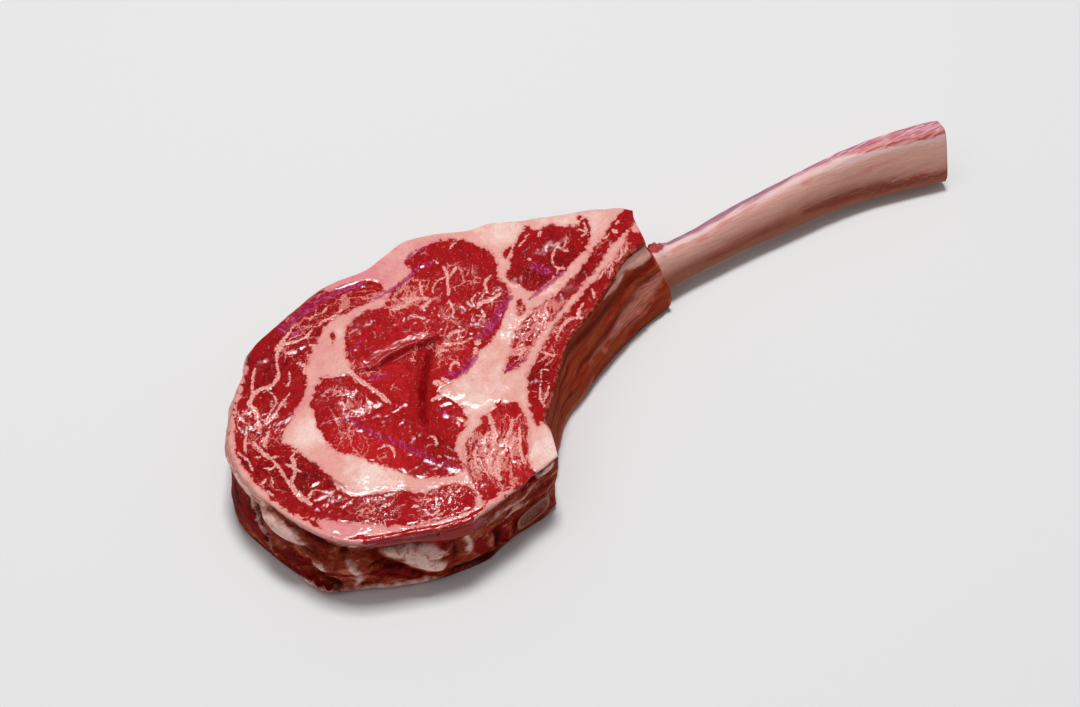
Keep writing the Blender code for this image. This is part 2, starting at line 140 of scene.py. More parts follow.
# Fat over the lean at the corner of the chine face and the inner wall.
CORNER_FAT = (
    (-72, -57), (-71.3, -62), (-72.5, -67), (-74, -74), (-75, -80), (-84, -82), (-91, -81),
    (-86, -70), (-80, -63), (-75, -58),
)
# The skin over the rib is everything outside this line, down the inner wall.
MEMBRANE = (
    (-71.2, -56.4), (-60.2, -43.8), (-48.3, -30.5), (-36.4, -18.6), (-22.3, -11.1), (-8.3, -3.8),
    (4.6, 5.3), (17.8, 13.8), (29, 16.2), (48, 17), (52, -14), (10, -26), (-30, -44), (-58, -66),
)
# A piece of the steak is what its outline holds and none of those above it holds.
LAYERS = (
    ("rib_membrane", MEMBRANE),
    ("chine_muscle", CHINE_MUSCLE),
    ("inner_rib_meat", INNER_RIB_MEAT),
    ("outer_rib_meat", OUTER_RIB_MEAT),
    ("shoulder_muscle", SHOULDER_MUSCLE),
    ("cap_muscle", CAP_MUSCLE),
    ("eye_muscle", EYE_MUSCLE),
)

# The rib: (plan x, plan y, height of its middle, half width, half height, lean in degrees).
RIB_STATIONS = (
    (-94.5, -89, 12.2, 9.2, 6.4, 0), (-91, -80.5, 12.6, 8.8, 6.7, 0), (-86, -69, 14, 7.4, 8, 2),
    (-80.5, -56, 17, 6, 9.8, 6), (-70.5, -42, 19.2, 5.4, 11.2, 11),
    (-53.5, -25.5, 20, 5.3, 12.2, 15), (-35, -12.5, 20, 5.4, 12.8, 17), (-14, -1, 20, 5.6, 13, 17),
    (8, 7.5, 20, 5.7, 13, 17), (28, 12, 19.4, 5.8, 12.5, 17), (46, 13.6, 18.8, 5.6, 12.2, 17),
    (66, 14.8, 18.9, 5.6, 12.1, 17), (92, 16.2, 19.4, 5.8, 13.3, 17), (120, 16.4, 20, 6.1, 14.7, 16),
    (148, 16.5, 20.5, 6.2, 15.9, 15), (172, 14.9, 20.7, 6.3, 17, 15),
    (194, 11, 21, 6.4, 17.6, 16), (217.6, 6, 21, 6.5, 18, 17),
)
RIB_SQUARENESS = 3.1
END_SQUARENESS = 1.4
END_SLOPE = 0.055
END_ROUNDING = 0.8
HEAD_ROUNDING = 0.15
END_SHARES = (0.93, 0.86, 0.80, 0.74, 0.66, 0.56, 0.46, 0.34, 0.22, 0.10)  # rings of a sawn end
MARROW_DEPTH = 0.55
SAW_PROUD = 1.3

# Lumps and hollows of the side wall: plan x, plan y, height, reach along, reach up, how far out.
WALL_LUMPS = (
    (30, 9, 33, 17, 9, 3.6),
    (41, 17, 34, 6, 6, 2.6),
    (-217, -12, 18, 14, 10, 1.6),
    (-176, -76, 17, 14, 9, 1.4),
    (-182, -72, 34, 22, 6, -4.2),
    (-207, -38, 33, 9, 7, 2.0),
    (-203, -58, 13, 6, 7, -3.4),
    (-190, -68, 22, 8, 6, 2.0),
    (-160, -82, 34, 16, 5, -2.6),
    (-150, -86, 20, 13, 10, 2.2),
    (-115, -86, 14, 6, 9, -1.8),
    (-76, -77, 14, 7, 9, -1.6),
    (-60, 74, 22, 45, 16, 2.2),
    (-150, 66, 20, 40, 15, 1.8),
    (-12, 57, 20, 30, 14, 2.2),
)
RIM_ROUNDING = 1.1
RIM_ARC = (0.35, 0.75)  # shares of the quarter turn from the side wall to the cut face
FOOT_LEVELS = (0.35, 0.8, 1.5)  # heights of the wall's lowest rows

# The eye's raised lobe, and its lower edge.
LOBE_MIDDLE = (-113, 30)
LOBE_REACH = (26, 22)
LOBE_RISE = 2.6
LOBE_EDGE = ((-150, 17), (-133, 13.5), (-128, 12), (-120, 14), (-110, 14.8), (-100, 14), (-92, 13),
             (-86, 10), (-70, 8))
LOBE_EDGE_MIDDLE = -112
LOBE_EDGE_REACH = 22
# The slit that runs down from the edge is a wide hollow with a narrow cut: depth and reach.
SLIT = ((-99, 10), (-106, 1), (-114, -10), (-122, -26))
SLIT_SECTION = ((3.0, 4.0), (1.9, 1.3))
# Pockets of fat that swell: plan x, y, reach.
FAT_POCKETS = ((-174, -8, 11), (-162, -42, 14), (-88, -24, 16))
FAT_POCKET_RISE = 1.1

# Veins of fat on the cut face: half width, then the points that they run through.
VEINS = (
    (0.75, (-150, 58), (-156, 54), (-160, 51.5), (-165, 47.5), (-168, 43), (-170, 38), (-171, 34)),
    (1.7, (-160.5, 51), (-163, 48.8), (-166.5, 47.6)),
    (1.2, (-170.5, 36), (-173, 32), (-178, 29), (-183, 29.5), (-187, 28.5), (-190, 26), (-192, 23.5),
     (-191, 19.5), (-192, 16), (-193, 11), (-194.5, 8)),
    (0.6, (-188, 29), (-186, 33), (-183.5, 38), (-180, 42.5)),
    (0.55, (-144, 55), (-142, 57.5), (-139, 58.5), (-135, 58), (-131, 60)),
    (0.6, (-140, 50), (-138.5, 52.5), (-133, 52), (-129, 53), (-126, 54)),
    (1.0, (-160, 49), (-154, 48)),
    (0.5, (-153, 48), (-149, 48), (-145, 50), (-144, 52)),
    (0.7, (-150, 42.5), (-147, 40.5)),
    (0.6, (-160.5, 43), (-157, 42.3)),
    (0.8, (-156.5, 31.5), (-158.5, 33.5), (-160.5, 36)),
    (0.6, (-158, 32), (-160, 28)),
    (0.5, (-166, 33), (-168, 28), (-171, 25.5)),
    (0.5, (-180, 27), (-179, 22), (-181, 18), (-186, 14.5), (-190, 10)),
    (0.5, (-171, 21), (-176, 18.5), (-182, 14), (-187, 12)),
    (0.8, (-190, 6), (-193, 3), (-195.5, 0), (-196, -4)),
    (0.9, (-200, 4), (-199, -2), (-198, -6), (-196.5, -9), (-193, -10.3)),
    (0.8, (-197, -8), (-196, -14), (-195.6, -20), (-195.7, -26)),
    (1.3, (-195.8, -24), (-195.3, -30), (-195, -35), (-193.5, -40), (-192, -44)),
    (0.55, (-202.5, -13), (-199, -15), (-196, -14.5)),
    (0.8, (-183.5, -12), (-187.5, -14), (-188.5, -18), (-189.5, -21), (-191, -24), (-193.5, -26.5),
     (-195, -30)),
    (0.9, (-192, -16.5), (-189.5, -20)),
    (0.4, (-189.5, -21), (-187.5, -25)),
    (0.6, (-192.5, -42), (-190.5, -39), (-187, -37.5), (-184.5, -39.5), (-182, -41.5)),
    (0.6, (-206, -2), (-204.5, 3), (-201, 9), (-199, 13)),
    (0.4, (-207.5, -21.5), (-204, -19.5)),
    (0.45, (-201.5, -20), (-202.3, -24)),
    (0.45, (-206.8, -25.5), (-205.2, -29.5)),
    (0.5, (-203.5, -5), (-200.5, -6.5)),
    (0.5, (-209, 1), (-207, -5), (-207.5, -12)),
    (0.9, (-68, 54), (-68, 50), (-69, 46), (-71, 43), (-72.5, 39), (-74.5, 35.5)),
    (0.6, (-81, 40), (-78, 44.5), (-74, 46.5), (-70, 46)),
    (0.55, (-70, 46), (-66, 46.5), (-62.5, 49)),
    (0.4, (-70.5, 59.5), (-68.5, 55)),
    (0.9, (-82.5, 51), (-84.5, 47), (-86, 42)),
    (0.55, (-76, 32), (-76.5, 28), (-77.5, 24)),
    (0.75, (-49.5, 36.5), (-54, 33.5), (-55.5, 30), (-56, 27)),
    (0.5, (-60, 60.5), (-57, 62.8), (-54, 63.5)),
    (0.5, (-98.5, 32), (-95, 29), (-92, 26.5)),
    (1.1, (-105, 40.3), (-98, 39.5), (-92, 41), (-85, 39)),
    (1.2, (-92, 33), (-88, 35), (-84, 37)),
    (0.9, (-97, 45), (-93, 42), (-88, 41)),
    (1.3, (-141, 20), (-139.5, 14), (-138, 9), (-136, 4)),
    (1.0, (-136.5, 5), (-134.5, 0), (-133, -5), (-131.5, -9.5)),
    (0.65, (-149, -31), (-145.5, -30.8), (-143.3, -33), (-143.6, -37), (-145, -40)),
    (0.6, (-125.5, -37.5), (-123.5, -37), (-122.5, -40), (-124, -43.5)),
    (1.7, (-102, -18), (-105, -13), (-107, -9)),
    (0.8, (-98, -16), (-101.5, -12.5), (-103, -9.5)),
    (1.0, (-103, -17.5), (-108, -18.7), (-113, -18.5)),
    (0.7, (-104, -37), (-107, -34), (-108.5, -38)),
    (0.9, (-98, 5), (-95, 6.3), (-91.5, 4.5)),
    (0.6, (-97, -8), (-94, -4), (-91, -5), (-92.5, -8)),
    (1.0, (-88, 11), (-83, 13), (-78, 12)),
    (0.6, (-92, 10), (-87, 7), (-82, 5.5), (-77, 6.3)),
    (1.6, (-77, 1.5), (-74, 3.5)),
    (1.2, (-81, -3.5), (-78, -0.5)),
    (0.8, (-68, 17), (-65, 15), (-64, 19)),
    (1.2, (-66, 21), (-62, 23), (-56, 22.5), (-50, 24)),
    (0.5, (-62, 29), (-66, 26), (-66, 22)),
    (0.6, (-10, 35.5), (-14, 32.5), (-17, 29), (-18, 25.5), (-17, 22.5), (-19.5, 20.3)),
    (0.55, (-9.8, 36), (-8.7, 32.5), (-7.2, 30.4), (-6, 32)),
    (0.5, (-2.5, 38.5), (-5, 36), (-8.5, 32.5)),
    (0.7, (-12.5, 49), (-15.5, 45.5)),
    (0.5, (-27, 46), (-23, 47.5), (-21, 49.5), (-18.5, 50.3)),
    (1.2, (-27.5, 35), (-26.3, 35.5)),
    (0.8, (4, 35.5), (7.5, 36), (9.5, 40), (10.3, 43)),
    (0.5, (6, 40), (8.5, 36)),
    (0.7, (-16.5, 22.5), (-14, 21)),
    (0.9, (20.5, 31), (21.5, 28)),
    (0.8, (24.5, 33.5), (26.5, 34.5)),
    (0.6, (13, 29.5), (16, 28.5), (18, 30)),
    (0.9, (-17.5, -3.5), (-21.5, -6), (-24, -9.5), (-28, -8.5), (-33, -10), (-37, -12.5), (-41, -16.5)),
    (0.8, (-21.5, -11.2), (-24, -9.5)),
    (0.6, (-34, -19), (-31.5, -16), (-28, -15)),
    (0.7, (-52, -19.5), (-49.5, -22.5), (-47, -25)),
    (0.5, (-9, 2.5), (-9.7, -1), (-11.5, -4)),
    (0.5, (-4, 5.5), (2, 9), (8, 12), (13, 15.5)),
    (0.6, (9, 15.5), (12, 12), (16, 14.5), (18, 18)),
    (0.6, (10.5, 9), (14, 8.5), (17, 12), (21, 17.5)),
    (0.5, (2, 3.5), (6, 8), (9, 11.5)),
    (0.6, (-64.5, -13), (-61.5, -12), (-57.5, -13.5), (-61, -15.5), (-64, -14.7)),
    (0.6, (-33, 6.5), (-36, 3), (-37, -1)),
    (0.5, (-54, -32.5), (-57, -30), (-60, -34)),
    (0.5, (-62, -37), (-66, -44), (-67, -50)),
    (0.45, (-59, -40), (-62.5, -44), (-66, -47)),
    (2.0, (-112, -45), (-114.5, -51), (-116, -57)),
    (0.6, (-108.5, -57), (-110, -63), (-110.6, -73)),
    (0.7, (-107, -53), (-111.5, -59), (-113.5, -66)),
    (1.4, (-92.5, -39.5), (-94.5, -46), (-96.5, -52), (-100, -56)),
    (0.9, (-84, -47.5), (-88, -53), (-93, -57), (-99, -58.5)),
    (0.8, (-83, -53), (-87, -60), (-90, -66), (-92, -72)),
    (0.7, (-80.5, -58), (-84, -65), (-87, -71)),
    (0.8, (-88, -57), (-93.5, -63), (-96, -68)),
    (1.8, (-97, -62), (-102, -66), (-106, -71), (-107, -76)),
    (1.5, (-104, -60), (-107.5, -66), (-108.5, -71)),
    (0.8, (-98, -49), (-102, -52), (-105, -58)),
)

# Lean that shows in the fat, and stripes of lean: half width, then points.
LEAN_STREAKS = (
    (1.8, (-49, 6.5), (-46.5, 10), (-43.8, 15)),
    (2.4, (-198, -50), (-197, -56), (-195, -62)),
    (0.9, (-190, -64), (-189, -68)),
    (1.2, (-183, -71), (-178, -71.5)),
    (0.7, (-139.5, 37.5), (-136.5, 42.5)),
    (1.0, (-37, 43.5), (-31, 48)),
    (1.3, (-88, -39), (-84.5, -36)),
    (1.1, (-97.5, -42), (-94.5, -39.5)),
    (0.9, (-36, 17.5), (-33.5, 15.5)),
    (1.0, (23, 21), (28, 25), (28.5, 20)),
    (0.9, (29, 21), (33, 22.5), (33, 27)),
    (0.7, (8.7, 46.5), (11, 48)),
)

# Fat that covers the edge of the lean: half width, then points.
FAT_EDGES = (
    (1.9, (-205, 19), (-210.4, 4), (-212, -12), (-209, -28), (-203.6, -44), (-197, -58), (-188, -68.4),
     (-180, -73)),
    (1.0, (-183, 45.5), (-192, 35), (-200, 24), (-206, 14)),
    (1.2, (-128, -88), (-116, -85.5), (-104, -83.2)),
)

# Small dark marks beside the fat: half width, then points.
DARK_MARKS = (
    (0.9, (-176.5, -37), (-175, -40.4), (-173.5, -44.5)),
    (0.9, (-184, -18.5), (-181.9, -21.5), (-179.6, -26)),
    (0.8, (-128, 41), (-124.2, 43.3), (-120.3, 44.5), (-117, 44.2)),
    (0.6, (-192.5, -64.5), (-190, -68.2), (-186, -71.5)),
)

# Silver skin, with a painted purple sheen where it catches the light: half width, then points.
SILVER_SKIN = (
    (1.5, (-158, -8), (-153, -9.5), (-149.5, -17), (-144, -26), (-139, -33), (-135, -41),
     (-131, -48), (-125, -55), (-119.5, -63)),
    (2.6, (-46, 19.5), (-54, 15.5), (-62, 10), (-68, 6), (-76, 4.5)),
    (2.2, (-80, -5), (-86, -8), (-93, -11.5), (-100, -10)),
    (1.3, (-71, 58), (-78, 59), (-85, 57), (-92, 54.5), (-101, 53), (-110, 51)),
    (2.6, (-108, 64.5), (-120, 66.5), (-132, 66.5), (-142, 64), (-152, 60), (-160, 57)),
    (2.4, (-29, 31), (-26, 28.5), (-24, 25.5), (-21.5, 21.5)),
    (1.6, (-16, 19.5), (-24, 16.5), (-33, 14.5), (-40, 12.5)),
    (1.2, (-60, -20), (-67, -20.5), (-72, -21.5)),
    (0.9, (-137, 27), (-132, 28.5), (-128, 30), (-124.5, 30)),
    (0.8, (-114, -24), (-111, -29), (-109, -35)),
    (1.3, (-70, 69.5), (-76, 69.5), (-82, 67)),
    (1.0, (-135, 8), (-127, 7), (-122, 4)),
    (1.0, (-156, 51.5), (-148, 52.5)),
)

# Where the wet surface is broken up and glitters: plan x, y, reach along x, along y, how much.
GLITTER = (
    (-137, -73, 14, 9, 1.2), (-121, -73, 7, 7, 1.3), (-158, -55, 12, 5, 0.8),
    (-113, 17, 24, 3.5, 1.2), (-150, -6, 14, 4, 0.55), (-88, 30, 16, 8, 0.9), (-95, 48, 10, 7, 0.9),
    (-60, 25, 16, 5, 1.0), (-50, -4, 14, 8, 1.4), (-24, 10, 12, 6, 1.2), (-13, 37, 9, 3, 1.5),
    (-40, 25, 5, 4, 1.1), (-190, 10, 12, 10, 0.45), (-203, 20, 8, 8, 0.4), (-184, -48, 12, 6, 0.5),
    (-131, -33, 6, 12, 0.5), (-100, -58, 14, 12, 0.6), (-80, 12, 18, 8, 0.6),
    (-150, 8, 14, 10, 0.6), (-120, 41, 14, 5, 0.6), (-165, -67, 16, 5, 0.6), (-135, -84, 16, 4, 0.7),
)

# Brighter or darker lean: plan x, y, reach, how much. The dark spots at (-107, 6) and (-113, -9) are
# painted shade in the slit's hollow.
LEAN_TONES = (
    (-118, 22, 26, 0.35), (-120, -2, 18, 0.45), (-158, -22, 14, 0.9), (-146, -40, 14, 0.8),
    (-107, 6, 7, -0.6), (-113, -9, 5, -0.8), (-126, -44, 12, -0.5), (-90, 2, 12, 0.5),
    (-205, -10, 14, -0.55), (-188, -30, 14, -0.75), (-180, 38, 20, -0.45),
    (-150, 58, 26, -0.3), (-108, -33, 9, 0.5), (-88, -48, 12, 0.7), (-100, -72, 16, 0.6),
    (-15, 30, 22, -0.2), (-30, 22, 12, -0.5), (0, 20, 20, -0.35), (-10, -3, 18, -0.2),
    (-88, 36, 20, 0.35),
    (-62, -30, 12, -0.7), (-150, -82, 20, 0.25), (-160, -58, 14, -0.5), (-66, 62, 20, 0.1),
)

# Paler or redder fat: plan x, y, reach, how much.
FAT_TONES = (
    (-174, -6, 11, -0.9), (-160, -42, 13, -0.9), (-90, -26, 18, -0.55), (-78, -72, 10, -0.9),
    (-30, 58, 14, -0.7), (8, 50, 14, -0.5), (-142, 22, 8, -0.5), (-134, 42, 5, -0.6),
    (-148, 32, 12, 0.35), (-95, 68, 24, 0.3), (-125, 71, 20, 0.6), (-64, 73, 14, 0.3),
    (-184, 50, 20, 0.5), (-170, 15, 10, 0.5), (-186, -62, 14, 0.5), (-160, -72, 16, 0.45),
    (-104, 62, 8, 0.3), (20, 38, 10, -0.2), (-45, 44, 10, 0.2), (-60, 2, 14, -0.4),
    (-130, -62, 10, 0.1), (24, 22, 10, 0.3), (-176, -30, 8, 0.35),
)

# Where more fat is spread through the lean than elsewhere: plan x, y, reach, how much.
MARBLING = (
    (-100, -62, 20, 0.9), (-138, -74, 18, 0.2), (-170, -62, 16, 0.25), (-60, -12, 14, 0.9),
    (-40, 0, 16, 0.8), (-95, 46, 12, 0.7), (-78, 22, 16, 0.25), (-195, 10, 16, 0.35),
    (-150, 50, 20, 0.5), (-150, 5, 16, 0.6), (-90, 5, 14, 0.5), (10, 14, 12, 0.6),
    (-110, 55, 16, 0.5), (-190, -25, 20, 0.2), (-60, 40, 20, 0.35), (-158, -20, 12, 0.4),
)
MARBLING_LEAST = 0.22

# The grain: a place it is measured from, the radius of the cap's rings, and its directions in
# degrees. The strips' grain is also stretched.
GRAIN_CENTRE = np.array((-140.0, -5.0))
CAP_RADIUS = 62
EYE_GRAIN = 62
STRAIGHT_GRAINS = (
    (OUTER_RIB_MEAT, 34, 0.8), (INNER_RIB_MEAT, 36, 0.8), (SHOULDER_MUSCLE, 48, 1.0),
    (CHINE_MUSCLE, 62, 0.35),
)


def smoothstep(low, high, value):
    t = np.clip((value - low) / (high - low), 0.0, 1.0)
    return t * t * (3 - 2 * t)


def spline(points, closed, parts=12):
    """A smooth curve through the points, as many short steps."""
    points = [np.array(p, float) for p in points]
    if closed:
        knots = [points[-1], *points, points[0], points[1]]
    else:
        knots = [2 * points[0] - points[1], *points, 2 * points[-1] - points[-2]]
    curve = []
    for p0, p1, p2, p3 in zip(knots, knots[1:], knots[2:], knots[3:]):
        for step in range(parts):
            t = step / parts
            curve.append(
                0.5 * (2 * p1 + (p2 - p0) * t + (2 * p0 - 5 * p1 + 4 * p2 - p3) * t**2
                       + (3 * p1 - p0 - 3 * p2 + p3) * t**3)
            )
    curve.append(points[0] if closed else points[-1])
    return np.array(curve)


def travelled(curve, dims=3):
    """Distance along the curve at each of its points."""
    steps = np.linalg.norm(np.diff(curve[:, :dims], axis=0), axis=1)
    return np.concatenate([[0.0], np.cumsum(steps)])


def evenly(curve, count, dims=3):
    """The curve cut into so many equal lengths, with both of its ends."""
    along = travelled(curve, dims)
    places = np.linspace(0.0, along[-1], count + 1)
    return np.stack([np.interp(places, along, column) for column in curve.T], axis=1)


def closed_outline(points, step):
    curve = spline(points, closed=True)
    return evenly(curve, max(8, round(travelled(curve)[-1] / step)))[:-1]


def lumps(places, size, seed):
    """Smooth random numbers from -1 to 1 at places in space, in lumps of about this size."""
    cell = places / size + seed * 17.31
    base = np.floor(cell).astype(np.int64)
    part = cell - base
    part = part * part * (3 - 2 * part)
    total = np.zeros(len(places))
    for corner in itertools.product((0, 1), repeat=3):
        key = ((base + corner) * (73856093, 19349663, 83492791)).sum(axis=1) + seed * 7919
        key = (key ^ (key >> 13)) * 1274126177 & 0x7FFFFFFF
        key = (key ^ (key >> 15)) * 668265263 & 0x7FFFFFFF
        value = ((key >> 9) & 0xFFFF) / 32767.5 - 1
        total += value * np.prod(np.where(corner, part, 1 - part), axis=1)
    return total


def distance_to_path(places, path, closed=False):
    """Distance of flat places from a path, and how far along it the nearest point is (0 to 1)."""
    path = np.array(path, float)
    ends = np.roll(path, -1, axis=0) if closed else path[1:]
    starts = path if closed else path[:-1]
    best = np.full(len(places), np.inf)
    along = np.zeros(len(places))
    for index, (a, b) in enumerate(zip(starts, ends)):
        way = b - a
        t = np.clip(((places - a) @ way) / max(way @ way, 1e-12), 0.0, 1.0)
        gone = np.hypot(places[:, 0] - a[0] - t * way[0], places[:, 1] - a[1] - t * way[1])
        nearer = gone < best
        best = np.where(nearer, gone, best)
        along = np.where(nearer, (index + t) / len(starts), along)
    return best, along


def inside(places, outline):
    """Whether flat places are inside a closed outline."""
    odd = np.zeros(len(places), bool)
    x, y = places[:, 0], places[:, 1]
    for a, b in zip(outline, np.roll(outline, -1, axis=0)):
        if a[1] == b[1]:
            continue
        crosses = (a[1] > y) != (b[1] > y)
        odd ^= crosses & (x < (b[0] - a[0]) * (y - a[1]) / (b[1] - a[1]) + a[0])
    return odd


def depth_inside(places, outline):
    """Distance from a closed outline: more than nothing inside it, less outside."""
    distance, _ = distance_to_path(places, outline, closed=True)
    return np.where(inside(places, outline), distance, -distance)


# ---------------------------------------------------------------- the side wall

def side_wall():
    """Rim, foot, outward direction, whether the rib lies behind and distance round, per column."""
    rims, feet, ribs = [], [], []
    for rim, foot, over_rib in (
        (BACK_RIM, BACK_FOOT, 0.0),
        (CHINE_RIM, CHINE_FOOT, 0.0),
        (CORNER_RIM, CORNER_FOOT, 0.0),
        (RIB_RIM, RIB_FOOT, 1.0),
        (END_RIM, END_FOOT, 1.0),
    ):
        rim_curve, foot_curve = spline(rim, closed=False), spline(foot, closed=False)
        count = max(4, round(travelled(rim_curve)[-1] / RING_STEP))
        rims.append(evenly(rim_curve, count)[:-1])
        feet.append(evenly(foot_curve, count)[:-1])
        ribs.append(np.full(count, over_rib))
    rim, foot, over_rib = np.concatenate(rims), np.concatenate(feet), np.concatenate(ribs)
    reach = 5
    along = np.roll(rim, -reach, axis=0) - np.roll(rim, reach, axis=0)
    normal = np.stack([along[:, 1], -along[:, 0]], axis=1)
    normal /= np.linalg.norm(normal, axis=1)[:, None]
    gone = travelled(np.concatenate([rim, rim[:1]]))[:-1]
    return {"rim": rim, "foot": foot, "rib": over_rib, "normal": normal, "gone": gone}


WALL = side_wall()


def wall_columns(index):
    """The wall's values at columns that may lie between two of the wall's own."""
    low = np.floor(index).astype(int) % len(WALL["rim"])
    high = (low + 1) % len(WALL["rim"])
    part = (index - np.floor(index))[:, None]
    mixed = {k: WALL[k][low] * (1 - part) + WALL[k][high] * part for k in ("rim", "foot", "normal")}
    part = part[:, 0]
    mixed["rib"] = WALL["rib"][low] * (1 - part) + WALL["rib"][high] * part
    mixed["gone"] = WALL["gone"][low] + part * RING_STEP
    return mixed


def wall_place(columns, height):
    """Plan place of the side wall at a height, for each column, in millimetres."""
    share_plain = 1 - smoothstep(-12.0, 44.0, height)
    share_rib = 1 - smoothstep(10.0, 40.0, height)
    share = (share_plain * (1 - columns["rib"]) + share_rib * columns["rib"])[:, None]
    place = columns["rim"] * (1 - share) + columns["foot"] * share
    out = -1.0 * (1 - smoothstep(0.0, 4.0, height))
    for x, y, z, along, up, amount in WALL_LUMPS:
        distance = np.hypot(place[:, 0] - x, place[:, 1] - y) / along
        out = out + amount * np.exp(-distance**2 - ((height - z) / up) ** 2)
    return place + columns["normal"] * out[:, None]


def wall_ring(height, inset=0.0):
    """The side wall's outline at one height, moved in a little."""
    count = len(WALL["rim"])
    ring = wall_place(wall_columns(np.arange(count, dtype=float)), np.full(count, float(height)))
    return ring - WALL["normal"] * inset


def on_wall(x, y, z):
    """Where a point near the side wall lies on it: distance round the wall, and height."""
    nearest = np.argmin(np.hypot(*(wall_ring(z) - (x, y)).T))
    return WALL["gone"][nearest], z


# The middle of the rib's sawn head, where it shows in the chine face.
RIB_HEAD = on_wall(-91.3, -81.4, 12.8)

# ---------------------------------------------------------------- the cut face

def lobe_edge_height(x):
    points = np.array(LOBE_EDGE, float)
    return np.interp(x, points[:, 0], points[:, 1])


def near_lobe_edge(places):
    """Millimetres up the plan from the lobe's lower edge, and how near to its middle (0 to 1)."""
    up = places[:, 1] - lobe_edge_height(places[:, 0])
    return up, np.exp(-(((places[:, 0] - LOBE_EDGE_MIDDLE) / LOBE_EDGE_REACH) ** 4))


def cad_relief(places):
    """The CAD's relief of the upper cut face, in millimetres, from places in plan."""
    x, y = (places - PLAN_CENTRE).T
    height = 0.7 * np.sin(x / 21 + 1.1) * np.cos(y / 17 - 0.4)
    height += 0.5 * np.sin(x / 9.4 - y / 13)
    height += 0.4 * np.cos(y / 7.1 + x / 19)
    x, y = places.T
    over_step = smoothstep(-0.5, 1.6, y - lobe_edge_height(x))
    (middle_x, middle_y), (reach_x, reach_y) = LOBE_MIDDLE, LOBE_REACH
    lobe = np.exp(-(((x - middle_x) / reach_x) ** 4) - ((y - middle_y) / reach_y) ** 4)
    height += LOBE_RISE * over_step * lobe
    slit, _ = distance_to_path(places, SLIT)
    for depth, reach in SLIT_SECTION:
        height -= depth * np.exp(-((slit / reach) ** 2))
    for px, py, reach in FAT_POCKETS:
        height += FAT_POCKET_RISE * np.exp(-((x - px) ** 2 + (y - py) ** 2) / reach**2)
    return height


def soft_spots(places, spots):
    """The sum of soft round spots: x, y, reach, how much."""
    total = np.zeros(len(places))
    for x, y, reach, amount in spots:
        total += amount * np.exp(-((places[:, 0] - x) ** 2 + (places[:, 1] - y) ** 2) / reach**2)
    return np.clip(total, -1.0, 1.0)


def stroke_depth(places, strokes):
    """Depth inside the nearest stroke: more than nothing in it. A stroke tapers to its ends."""
    depth = np.full(len(places), -STROKE_FAR)
    for half_width, *points in strokes:
        line = spline(points, closed=False, parts=4) if len(points) > 2 else np.array(points, float)
        far = STROKE_FAR + half_width
        low, high = line.min(axis=0) - far, line.max(axis=0) + far
        near = ((places > low) & (places < high)).all(axis=1)
        distance, along = distance_to_path(places[near], line)
        width = half_width * (0.35 + 0.65 * np.sqrt(np.clip(4 * along * (1 - along), 0, 1)))
        depth[near] = np.maximum(depth[near], width - distance)
    return depth


def cut_face_marks(places, drift):
    """What the materials read on the upper or lower cut face, from places in plan.

    The lower face is the same muscles seen from below: its marks drift a few millimetres.
    """
    deep = np.c_[places, np.full(len(places), 5.0)]
    wander = np.stack([lumps(deep, 30, seed) for seed in (3, 4)], axis=1)
    moved = places + drift * 4.0 * wander
    lean = np.full(len(places), -DEPTH_LIMIT)
    for _, outline in LAYERS[1:]:
        depth = depth_inside(moved, closed_outline(outline, OUTLINE_STEP))
        lean = np.maximum(lean, np.clip(depth, -DEPTH_LIMIT, DEPTH_LIMIT))
    lean = np.minimum(lean, -depth_inside(moved, np.array(CORNER_FAT, float)))
    lip = depth_inside(moved, closed_outline(LIP_MEAT, OUTLINE_STEP))
    lean = np.maximum(lean, np.clip(lip, -DEPTH_LIMIT, DEPTH_LIMIT))
    lean = np.maximum(lean, stroke_depth(moved, LEAN_STREAKS))
    lean = np.minimum(lean, -stroke_depth(moved, FAT_EDGES))
    glitter = np.zeros(len(places))
    for x, y, wide, high, amount in GLITTER:
        away = ((places[:, 0] - x) / wide) ** 2 + ((places[:, 1] - y) / high) ** 2
        glitter = np.maximum(glitter, amount * np.exp(-away))
    # Painted shade: the crease mark darkens the slit and a band under the lobe's edge. The small dark
    # marks beside the fat take the same darkening.
    slit, _ = distance_to_path(places, SLIT)
    up, near = near_lobe_edge(places)
    under_edge = np.exp(-(((up + 0.6) / 1.3) ** 2)) * near
    crease = np.maximum(0.85 * np.exp(-((slit / 0.8) ** 2)), 0.4 * under_edge)
    ragged = 0.5 * lumps(np.c_[places, np.zeros(len(places))], 1.6, 53)
    dark = smoothstep(-0.5, 0.5, stroke_depth(places, DARK_MARKS) + ragged)
    crease = np.maximum(crease, 0.6 * dark)
    none = np.zeros(len(places))
    return {
        "lean": lean, "vein": stroke_depth(moved, VEINS),
        "silver": stroke_depth(moved, SILVER_SKIN), "glitter": glitter * (1 - 0.6 * drift),
        "crease": crease * (1 - drift), "lean_tone": soft_spots(moved, LEAN_TONES),
        "fat_tone": soft_spots(moved, FAT_TONES), "grain": grain_of(moved),
        "marble": np.clip(MARBLING_LEAST + soft_spots(moved, MARBLING), 0, 1),
        "shade": none, "pale": none, "pink": none,
    }


def turned(places, middle, degrees):
    """Coordinates along and across a direction."""
    angle = math.radians(degrees)
    x, y = (places - middle).T
    return np.stack([x * math.cos(angle) + y * math.sin(angle),
                     y * math.cos(angle) - x * math.sin(angle)], axis=1)


